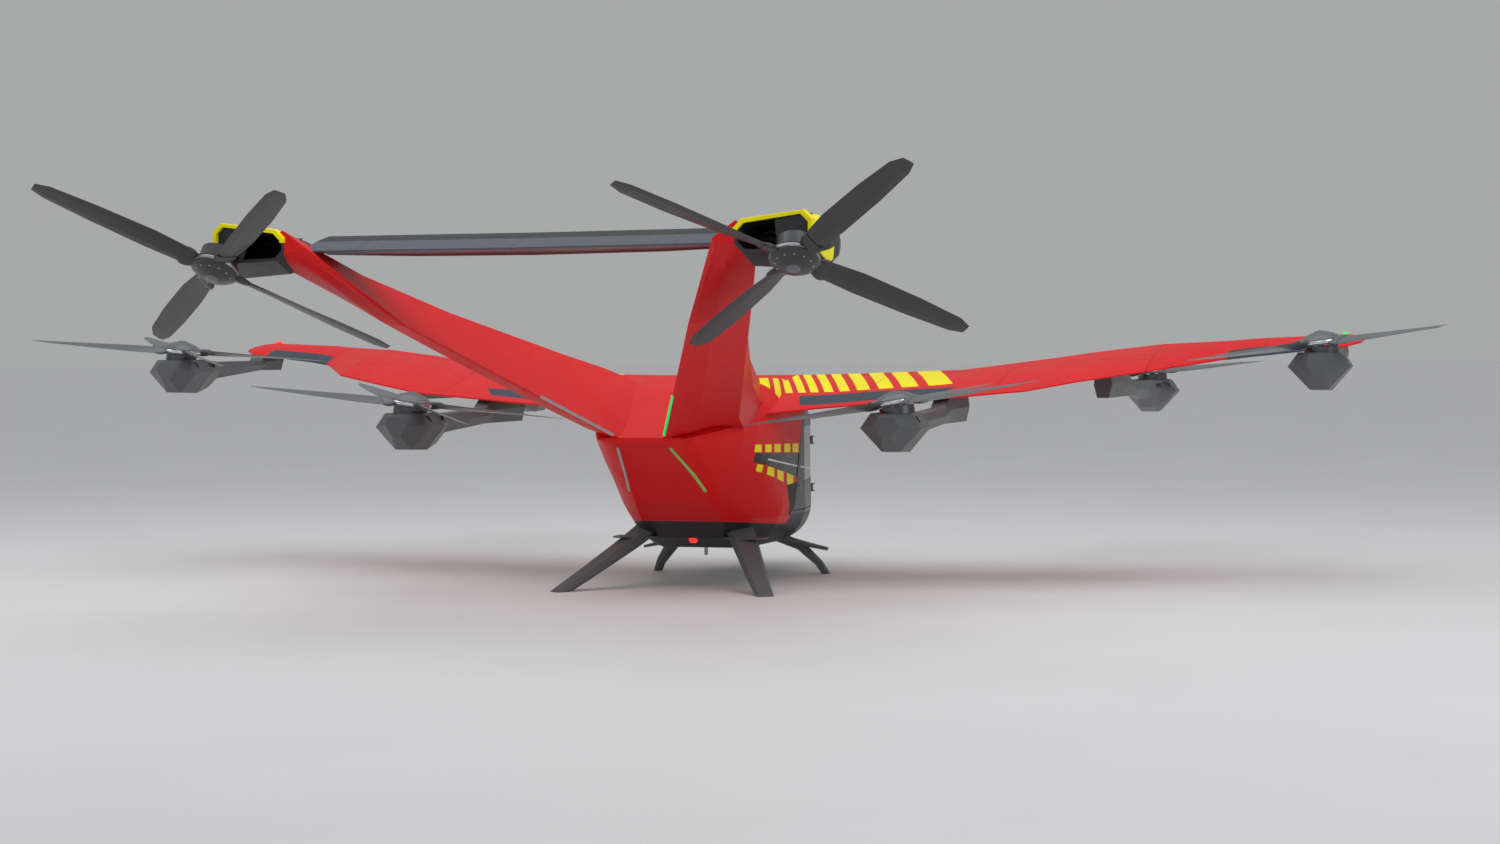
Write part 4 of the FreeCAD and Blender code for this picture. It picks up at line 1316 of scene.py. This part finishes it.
@dataclass
class Seats:
    """Cushions and harness of the four seats.

    Args:
        workshop: Where pieces are made.
        places: Each seat's name, x of its middle and y of its back's foot.
        half: Half a cushion's width.
        pan: Height of the seat pan.
        strap: Width, thickness and lift of the harness webbing.
        shoulder: A strap's distance from the seat's middle at its top, and how much it pinches.
        shoulder_run: Height of a strap's top over the pan, and its drop.
        lap: Half the lap belt's length, and its place ahead of the back's foot.
        buckle: Half a buckle's width, length and thickness, and its rise over the cushion.
        reach: How far outside a cushion a strap's rays start.
    """

    workshop: Workshop
    places: tuple[tuple[str, float, float], ...] = (
        ("front_left", -0.300, 1.0936), ("front_right", 0.300, 1.0936),
        ("rear_left", -0.330, 0.0836), ("rear_right", 0.330, 0.0836),
    )
    half: float = 0.206
    pan: float = 0.9003
    strap: Vec3 = (0.046, 0.0026, 0.0024)
    shoulder: Vec2 = (0.115, 0.075)
    shoulder_run: Vec2 = (0.535, 0.40)
    lap: Vec2 = (0.19, 0.17)
    buckle: tuple[float, float, float, float] = (0.034, 0.030, 0.011, 0.012)
    reach: Vec2 = (0.5, 0.4)

    def cushion(self, cushion: Cushion, base: tuple[np.ndarray, list[list[int]]], x: float,
                y: float, seat: str, node: str) -> bpy.types.Object:
        """Place one copy of a cushion on a seat.

        Args:
            cushion: The cushion.
            base: Its sewn points for a seat at the origin, and its faces.
            x: The seat's middle.
            y: The foot of the seat's back.
            seat: The seat's name.
            node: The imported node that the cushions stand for.

        Returns:
            The piece.
        """
        points, faces = base
        flip = -1.0 if x < 0 else 1.0
        mesh = bpy.data.meshes.new(f"{cushion.name}_{seat}")
        moved = points * np.array([flip, 1.0, 1.0]) + np.array([x, y, 0.0])
        if flip < 0:
            faces = [face[::-1] for face in faces]
        mesh.from_pydata(moved.tolist(), [], faces)
        mesh.shade_smooth()
        piece = bpy.data.objects.new(mesh.name, mesh)
        bpy.context.scene.collection.objects.link(piece)
        finer = piece.modifiers.new("finer", "SUBSURF")
        finer.levels = finer.render_levels = 1
        self.workshop.finishes.dress(piece, "seat_cloth")
        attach(piece, "airframe")
        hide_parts(node)
        self.workshop.count += 1
        return piece

    def harness(self, seat: str, x: float, y: float, back: Skin, pad: Skin) -> None:
        """Lay two shoulder straps down the back and a lap belt with a buckle on the pad.

        Args:
            seat: The seat's name.
            x: The seat's middle.
            y: The foot of the seat's back.
            back: The back cushion's skin.
            pad: The seat cushion's skin.
        """
        straps = []
        for side in (-1.0, 1.0):
            hits = []
            for share in np.linspace(0.0, 1.0, 24):
                at = x + side * (self.shoulder[0] - self.shoulder[1] * share)
                height = self.pan + self.shoulder_run[0] - self.shoulder_run[1] * share
                hits.append(back.hit((at, y + self.reach[0], height), (0.0, -1.0, 0.0)))
            straps.append([hit for hit in hits if hit is not None])
        above = self.pan + self.reach[1]
        lap = [pad.hit((x + at, y + self.lap[1], above), (0.0, 0.0, -1.0))
               for at in np.linspace(-self.lap[0], self.lap[0], 28)]
        straps.append([hit for hit in lap if hit is not None])
        lofts = []
        for hits in straps:
            places = np.array([hit[0] for hit in hits])
            normals = np.array([hit[1] for hit in hits])
            lofts.append(ribbon(places, normals, *self.strap, 0.3))
        self.workshop.make(f"harness_{seat}", lofts, "webbing", "airframe")
        top, normal = pad.hit((x, y + self.lap[1], above), (0.0, 0.0, -1.0))
        wide, long, thick, rise = self.buckle
        share = np.linspace(-1.0, 1.0, 9)
        reach = np.sqrt(np.clip(1.0 - np.abs(share) ** 6, 0.02, 1.0))
        section = superellipse(28, wide, long, 0.55)
        rings = np.stack([section[None, :, 0] * reach[:, None],
                          section[None, :, 1] * reach[:, None],
                          np.broadcast_to(share[:, None] * thick, (9, 28))], axis=-1)
        buckle = Loft(rings + top + normal * rise)
        self.workshop.make(f"buckle_{seat}", [buckle], "motor_metal", "airframe")

    def build(self) -> None:
        """Swell one pad and one back, then place four of each with their harness."""
        pad = Cushion("seat_pad", (-self.half, 0.100, self.pan),
                      (self.half, 0.426, self.pan + 0.080), 2, 0.0, (-0.46, 0.46), (-0.30,))
        back = Cushion("seat_back", (-self.half, 0.0003, self.pan),
                       (self.half, 0.0803, self.pan + 0.550), 1, 0.118, (-0.46, 0.46),
                       (-0.42, 0.10, 0.60))
        bases = {}
        for cushion in (pad, back):
            points, faces = cushion.swollen()
            bases[cushion.name] = (cushion.sewn(points), faces)
            LOG.info("%s: %d points", cushion.name, len(points))
        for seat, x, y in self.places:
            low = self.cushion(pad, bases["seat_pad"], x, y, seat, "seat_pads")
            high = self.cushion(back, bases["seat_back"], x, y, seat, "seat_backs")
            self.harness(seat, x, y, Skin(high), Skin(low))


# Cabin and airframe trim


@dataclass
class FinFacets:
    """The shallow crease along each fin's lower face.

    Args:
        workshop: Where pieces are made.
        rows: y of each section, then x and z of the fin's blunt edge and of its chine.
        share: How far the crease lies from the blunt edge towards the chine.
        proud: How far it stands out from the fin's flat face.
        sunk: How far the piece's back lies inside the fin.
        widest: The greatest x that a piece reaches, short of the nacelle's wall.
    """

    workshop: Workshop
    rows: tuple[tuple[float, float, float, float, float], ...] = (
        (-0.60, 0.291, 1.608, 0.700, 1.500), (-1.276, 0.208, 1.490, 0.848, 1.675),
        (-1.576, 0.253, 1.480, 0.957, 1.795), (-2.916, 0.845, 2.068, 1.446, 2.335),
        (-3.976, 1.313, 2.534, 1.832, 2.752), (-4.860, 1.807, 3.166, 2.151, 3.116),
    )
    share: float = 0.34
    proud: float = 0.048
    sunk: float = 0.006
    widest: float = 1.945

    def build(self) -> None:
        """Make both sides.

        Formula: sections are read between the rows along y; each ring goes from the blunt
        edge to the crease, to the chine and back under the face, and the crease's height
        grows from nothing at either end as the square root of a sine.
        """
        rows = np.array(self.rows)
        y = np.linspace(-1.30, -4.80, 56)
        table = [np.interp(-y, -rows[:, 0], rows[:, i]) for i in range(1, 5)]
        edge, chine = np.stack(table[:2], axis=1), np.stack(table[2:], axis=1)
        run = chine - edge
        reach = np.minimum(1.0, (self.widest - edge[:, 0]) / run[:, 0])
        out = np.stack([run[:, 1], -run[:, 0]], axis=1)
        out = out / np.linalg.norm(out, axis=1)[:, None]
        swell = np.sqrt(np.sin(np.pi * np.linspace(0.015, 0.985, len(y))))[:, None]
        stops = ((0.0, 0.0), (0.5 * self.share, 0.5), (self.share, 1.0),
                 (0.55, 0.67), (0.8, 0.27), (0.995, 0.0), (0.97, -1.0), (0.5, -1.0),
                 (0.03, -1.0))
        for label, side in SIDES:
            points = []
            for share, height in stops:
                lift = self.proud * swell * height if height >= 0.0 else -self.sunk
                at = edge + run * np.minimum(share, reach)[:, None] + out * (lift + 0.0005)
                points.append(np.stack([side * at[:, 0], y, at[:, 1]], axis=1))
            loft = Loft(np.stack(points, axis=1))
            self.workshop.make(f"fin_facet_{label}", [loft], "fin_paint", "airframe", False)


@dataclass
class SideTrim:
    """Thin pieces seated on the side glass and the doors.

    Args:
        frame: What the frame's loader returned.
        workshop: Where pieces are made.
        line: y and z along the pale line on the side glass.
        line_width: The line's width.
        handle: y and z of a door handle's middle.
        handle_half: Half a handle's length and height.
    """

    frame: dict
    workshop: Workshop
    line: tuple[Vec2, ...] = ((-0.223, 1.247), (0.14, 1.205), (0.487, 1.168), (0.831, 1.130),
                              (1.514, 1.078))
    line_width: float = 0.016
    handle: Vec2 = (0.80, 0.935)
    handle_half: Vec2 = (0.085, 0.020)

    def on_side(self, skin: Skin, side: float, ys: np.ndarray, zs: np.ndarray
                ) -> tuple[np.ndarray, np.ndarray]:
        """Points of a skin seen from one side.

        Args:
            skin: The skin.
            side: 1 for starboard, -1 for port.
            ys: y of each point.
            zs: z of each point.

        Returns:
            The points and the skin's direction at each.
        """
        hits = [skin.hit((side * 3.0, float(y), float(z)), (-side, 0.0, 0.0))
                for y, z in zip(ys, zs)]
        hits = [hit for hit in hits if hit is not None and side * hit[0][0] > 0.3]
        return np.array([hit[0] for hit in hits]), np.array([hit[1] for hit in hits])

    def glass_line(self, label: str, side: float) -> None:
        """Lay the pale line on the quarter window and go on with it on the door's glass."""
        ys, zs = np.array(self.line).T
        for node, body in ((f"quarter_window_{label}", "airframe"),
                           (f"door_glass_{label}", f"door_{label}")):
            low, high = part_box(node)
            reach = np.linspace(max(ys[0], low.y + 0.02), min(ys[-1], high.y - 0.02), 60)
            skin = Skin(self.frame["nodes"][node])
            places, normals = self.on_side(skin, side, reach, np.interp(reach, ys, zs))
            if len(places) > 3:
                loft = ribbon(places, normals, self.line_width, 0.003, 0.0012, 0.5)
                self.workshop.make(f"glass_line_{body}_{label}", [loft], "white_trim", body)

    def door_handle(self, label: str, side: float) -> None:
        """Seat a lozenge plate and a lifted grip on the door."""
        skin = Skin(self.frame["nodes"][f"door_{label}"])
        y, z = self.handle
        reach = np.linspace(-1.0, 1.0, 25)
        lofts = []
        for length, wide, thick, lift in ((1.0, 2 * self.handle_half[1], 0.004, 0.0015),
                                          (0.72, 0.016, 0.010, 0.014)):
            ys = y + reach * self.handle_half[0] * length
            places, normals = self.on_side(skin, side, ys, np.full(25, z))
            if len(places) < 25:
                LOG.info("handle %s: off the panel", label)
                return
            fade = np.sqrt(np.clip(1.0 - np.abs(reach) ** 5, 0.03, 1.0))[:, None, None]
            rise = lift * np.clip((1.0 - np.abs(reach)) * 5.0, 0.15, 1.0)
            loft = ribbon(places + normals * (rise - lift)[:, None], normals, wide, thick, lift)
            middle = loft.rings.mean(axis=1, keepdims=True)
            lofts.append(Loft(middle + (loft.rings - middle) * fade))
        self.workshop.make(f"door_handle_{label}", lofts, "motor_metal", f"door_{label}")

    def build(self) -> None:
        """Make both sides."""
        for label, side in SIDES:
            self.glass_line(label, side)
            self.door_handle(label, side)


@dataclass
class Cockpit:
    """Displays on the console and side sticks on the floor.

    Args:
        workshop: Where pieces are made.
        display_x: x of a display's middle.
        display_half: Half its width and height.
        display_set: How far it stands ahead of the console's aft edge.
        display_rise: Its middle's height over the console.
        lean: How far it leans back per metre of height.
        bezel: Half the bezel's depth.
        screen: The screen's share of the bezel, half its depth and its shift aft.
        stick_x: x of a stick.
        stick_y: y of its foot.
        stick_length: Its length.
        stick_bow: How far it bows ahead.
    """

    workshop: Workshop
    display_x: float = 0.17
    display_half: Vec2 = (0.140, 0.085)
    display_set: float = 0.10
    display_rise: float = 0.070
    lean: float = 0.35
    bezel: float = 0.012
    screen: Vec3 = (0.88, 0.004, -0.0105)
    stick_x: float = 0.30
    stick_y: float = 1.70
    stick_length: float = 0.42
    stick_bow: float = 0.05

    def plate(self, x: float, y: float, z: float, grow: float, depth: float,
              shift: float) -> Loft:
        """A leaning plate with rounded edges.

        Formula: superellipse rings shrink towards both faces by the root of one less a sixth
        power, and are sheared by the lean.

        Args:
            x: x of its middle.
            y: y of its middle.
            z: z of its middle.
            grow: Its share of a display's size.
            depth: Half its depth.
            shift: How far it is moved ahead.

        Returns:
            The plate's surface.
        """
        share = np.linspace(-1.0, 1.0, 7)
        section = superellipse(32, self.display_half[0] * grow, self.display_half[1] * grow, 0.3)
        reach = np.sqrt(np.clip(1.0 - np.abs(share) ** 6, 0.25, 1.0))[:, None]
        flat = section[None, :, 0] * reach
        tall = section[None, :, 1] * reach
        out = np.broadcast_to(share[:, None] * depth, flat.shape) + shift
        return Loft(np.stack([x + flat, y + self.lean * tall + out,
                              z + tall - self.lean * out], axis=-1))

    def displays(self) -> None:
        """Stand two bezelled displays on the console."""
        low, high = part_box("instrument_console")
        y, z = low.y + self.display_set, high.z + self.display_rise
        sides = (-self.display_x, self.display_x)
        plates = [self.plate(x, y, z, 1.0, self.bezel, 0.0) for x in sides]
        faces = [self.plate(x, y, z, *self.screen) for x in sides]
        self.workshop.make("display_bezels", plates, "cabin_lining", "airframe")
        self.workshop.make("display_screens", faces, "display_face", "airframe")

    def sticks(self) -> None:
        """Side sticks ahead of the front seats: a boot, a stem and a shaped grip.

        Formula: rings carried up a slightly bowed line, whose radius swells where the grip is.
        """
        share = np.linspace(0.0, 1.0, 24)
        turn = np.linspace(0.0, 2.0 * np.pi, 20, endpoint=False)
        radius = 0.010 + 0.022 * np.exp(-(share / 0.14) ** 2)
        radius = radius + 0.012 * np.clip((share - 0.5) * 6.0, 0.0, 1.0)
        radius = radius * np.sqrt(np.clip((1.0 - share) * 12.0 + 0.02, 0.0, 1.0))
        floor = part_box("cabin_floor")[1].z + 0.001
        y = self.stick_y + self.stick_bow * share ** 2
        z = np.broadcast_to((floor + self.stick_length * share)[:, None], (24, 20))
        lofts = []
        for x in (-self.stick_x, self.stick_x):
            rings = np.stack([x + radius[:, None] * np.cos(turn),
                              y[:, None] + radius[:, None] * np.sin(turn), z], axis=-1)
            lofts.append(Loft(rings))
        self.workshop.make("control_sticks", lofts, "door_skin", "airframe")

    def build(self) -> None:
        """Make the displays and the sticks."""
        self.displays()
        self.sticks()


@dataclass
class LegCollars:
    """A lozenge plate on each rear leg where it leaves the belly.

    Args:
        workshop: Where pieces are made.
        middle: The starboard plate's middle.
        half: Half its width, length and thickness.
        skew: How far it slants aft per metre outwards.
    """

    workshop: Workshop
    middle: Vec3 = (0.565, -0.20, 0.478)
    half: Vec3 = (0.235, 0.165, 0.011)
    skew: float = 0.10

    def build(self) -> None:
        """Make both sides.

        Formula: superellipse rings shrink towards both faces by the root of one less a sixth
        power.
        """
        share = np.linspace(-1.0, 1.0, 7)
        reach = np.sqrt(np.clip(1.0 - np.abs(share) ** 6, 0.2, 1.0))[:, None]
        section = superellipse(48, self.half[0], self.half[1], 0.62)
        flat = section[None, :, 0] * reach
        deep = section[None, :, 1] * reach
        x, y, z = self.middle
        tall = np.broadcast_to(z + share[:, None] * self.half[2], flat.shape)
        for label, side in SIDES:
            rings = np.stack([side * (x + 0.94 * flat), y + deep - self.skew * flat, tall],
                             axis=-1)
            self.workshop.make(f"leg_collar_{label}", [Loft(rings)], "leg_skin", "airframe")


@dataclass
class DuctSlats:
    """Slats across each duct, ahead of its motor.

    Args:
        workshop: Where pieces are made.
        walls: x of the duct's two walls on the starboard side.
        heights: Heights of the lowest and highest slat.
        count: Number of slats.
        y: y of a slat's middle.
        half: Half a slat's depth and thickness.
        lean: How far it rises per metre ahead.
    """

    workshop: Workshop
    walls: Vec2 = (2.012, 2.618)
    heights: Vec2 = (3.07, 3.27)
    count: int = 5
    y: float = -4.462
    half: Vec2 = (0.030, 0.004)
    lean: float = 0.35

    def build(self) -> None:
        """Make both sides.

        Formula: thin superellipse sections carried from one wall of the duct to the other.
        """
        section = superellipse(16, *self.half, 0.7)
        ends = np.linspace(*self.walls, 3)[:, None]
        depth, rise = section[None, :, 0], section[None, :, 1]
        for label, side in SIDES:
            lofts = []
            for z in np.linspace(*self.heights, self.count):
                places = np.broadcast_arrays(side * ends, self.y + depth,
                                             z + rise + self.lean * depth)
                lofts.append(Loft(np.stack(places, axis=-1)))
            self.workshop.make(f"duct_louvres_{label}", lofts, "nacelle_skin", "airframe")


@dataclass(frozen=True)
class PhotoCamera:
    """The camera where the photograph was taken from.

    Args:
        eye: Its place in metres.
        yaw: Degrees that it looks to the left of the nose's direction.
        pitch: Degrees that it looks up.
        roll: Degrees that it leans to the left.
        lens: Focal length in millimetres on a sensor 36 mm wide.
    """

    eye: Vec3 = (8.209, -24.427, 2.304)
    yaw: float = 17.4
    pitch: float = -1.57
    roll: float = -0.42
    lens: float = 62.64

    def build(self) -> bpy.types.Object:
        """Make the camera and return it."""
        yaw, pitch, roll = (math.radians(v) for v in (self.yaw, self.pitch, self.roll))
        ahead = np.array([-math.sin(yaw) * math.cos(pitch), math.cos(yaw) * math.cos(pitch),
                          math.sin(pitch)])
        level = np.array([math.cos(yaw), math.sin(yaw), 0.0])
        above = np.cross(level, ahead)
        right = math.cos(roll) * level + math.sin(roll) * above
        up = math.cos(roll) * above - math.sin(roll) * level
        matrix = np.eye(4)
        matrix[:3, 0], matrix[:3, 1], matrix[:3, 2] = right, up, -ahead
        matrix[:3, 3] = self.eye
        data = bpy.data.cameras.new("photo_camera")
        data.sensor_width = 36.0
        data.lens = self.lens
        data.clip_end = 500.0
        camera = bpy.data.objects.new("photo_camera", data)
        camera.matrix_world = Matrix(matrix.tolist())
        bpy.context.scene.collection.objects.link(camera)
        bpy.context.scene.camera = camera
        LOG.info("camera: lens %.2f mm", self.lens)
        return camera


@dataclass(frozen=True)
class SoftBox:
    """One large soft lamp.

    Args:
        name: The lamp's name.
        place: Where its middle is.
        aim: The point that it faces.
        size: Its two sides in metres.
        power: Its power in watts.
    """

    name: str
    place: Vec3
    aim: Vec3
    size: Vec2
    power: float

    def build(self) -> None:
        """Make the lamp."""
        data = bpy.data.lights.new(self.name, "AREA")
        data.shape = "RECTANGLE"
        data.size, data.size_y = self.size
        data.energy = self.power
        lamp = bpy.data.objects.new(self.name, data)
        back = np.asarray(self.place) - np.asarray(self.aim)
        back = back / np.linalg.norm(back)
        side = np.cross((0.0, 1.0, 0.0) if abs(back[2]) > 0.9 else (0.0, 0.0, 1.0), back)
        side = side / np.linalg.norm(side)
        matrix = np.eye(4)
        matrix[:3, 0], matrix[:3, 1], matrix[:3, 2] = side, np.cross(back, side), back
        matrix[:3, 3] = self.place
        lamp.matrix_world = Matrix(matrix.tolist())
        bpy.context.scene.collection.objects.link(lamp)


@dataclass
class Studio:
    """A pale floor, a pale world and soft lamps.

    Args:
        reach: Half the floor's side in metres.
        ambient: Strength of the light from all round.
        gloss: Strength of what shiny surfaces mirror.
        backdrop: Strength of what the camera sees behind the aircraft.
        lamps: The soft lamps.
    """

    reach: float = 400.0
    ambient: float = 0.60
    gloss: float = 0.34
    backdrop: float = 0.40
    lamps: tuple[SoftBox, ...] = (
        SoftBox("overhead", (0.0, -1.0, 13.0), (0.0, -0.5, 1.0), (18.0, 15.0), 900.0),
        SoftBox("starboard", (19.0, -9.0, 10.0), (0.0, -1.5, 2.0), (12.0, 9.0), 800.0),
        SoftBox("port", (-16.0, -9.0, 8.5), (-1.0, 0.0, 1.5), (9.0, 7.0), 450.0),
        SoftBox("rear", (3.0, -26.0, 10.0), (0.0, -1.0, 2.0), (12.0, 7.0), 300.0),
    )

    def build_floor(self) -> None:
        """Lay the floor, whose colour fades from a warm grey by slow noise."""
        corners = np.array([[-1, -1, 0], [1, -1, 0], [1, 1, 0], [-1, 1, 0]]) * self.reach
        mesh = bpy.data.meshes.new("floor")
        mesh.from_pydata(corners.tolist(), [], [(0, 1, 2, 3)])
        floor = bpy.data.objects.new("floor", mesh)
        bpy.context.scene.collection.objects.link(floor)
        graph = Graph("floor_screed")
        colour = graph.ground(Tint.FLOOR)
        colour = graph.shade(colour, graph.between(graph.noise(0.5, 6.0), 0.96, 1.04))
        smooth = graph.between(graph.noise(0.8, 5.0), 0.5, 0.66)
        mesh.materials.append(graph.finish(Base_Color=colour, Roughness=smooth,
                                           Specular_IOR_Level=0.08))

    def build_world(self) -> None:
        """Light from all round, with its own strength where the camera, gloss or glass looks."""
        world = bpy.data.worlds.new("studio_world")
        bpy.context.scene.world = world
        world.use_nodes = True
        tree = world.node_tree
        tree.nodes.clear()
        path = tree.nodes.new("ShaderNodeLightPath")
        shader = None
        steps = ((None, self.ambient), ("Is Glossy Ray", self.gloss),
                 ("Is Transmission Ray", self.backdrop), ("Is Camera Ray", self.backdrop))
        for ray, strength in steps:
            light = tree.nodes.new("ShaderNodeBackground")
            light.inputs[0].default_value = (0.98, 0.99, 1.0, 1.0)
            light.inputs[1].default_value = strength
            if ray is None:
                shader = light
                continue
            mix = tree.nodes.new("ShaderNodeMixShader")
            tree.links.new(path.outputs[ray], mix.inputs[0])
            tree.links.new(shader.outputs[0], mix.inputs[1])
            tree.links.new(light.outputs[0], mix.inputs[2])
            shader = mix
        out = tree.nodes.new("ShaderNodeOutputWorld")
        tree.links.new(shader.outputs[0], out.inputs[0])

    def build(self) -> None:
        """Make the floor, the world and the lamps."""
        self.build_floor()
        self.build_world()
        for lamp in self.lamps:
            lamp.build()
        bpy.context.scene.view_settings.view_transform = "Standard"
        LOG.info("studio: %d lamps", len(self.lamps))


def main() -> None:
    """Load the frame, dress it, add the pieces and set the studio."""
    logging.basicConfig(level=logging.INFO, format="%(name)s %(message)s")
    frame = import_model()
    PhotoCamera().build()
    finishes = Finishes()
    finishes.build()
    Airframe(frame, finishes).dress()
    workshop = Workshop(finishes)
    Rotors(frame, workshop).build()
    FinFacets(workshop).build()
    Seats(workshop).build()
    SideTrim(frame, workshop).build()
    Cockpit(workshop).build()
    LegCollars(workshop).build()
    DuctSlats(workshop).build()
    LOG.info("pieces: %d", workshop.count)
    Studio().build()


if __name__ == "__main__":
    main()
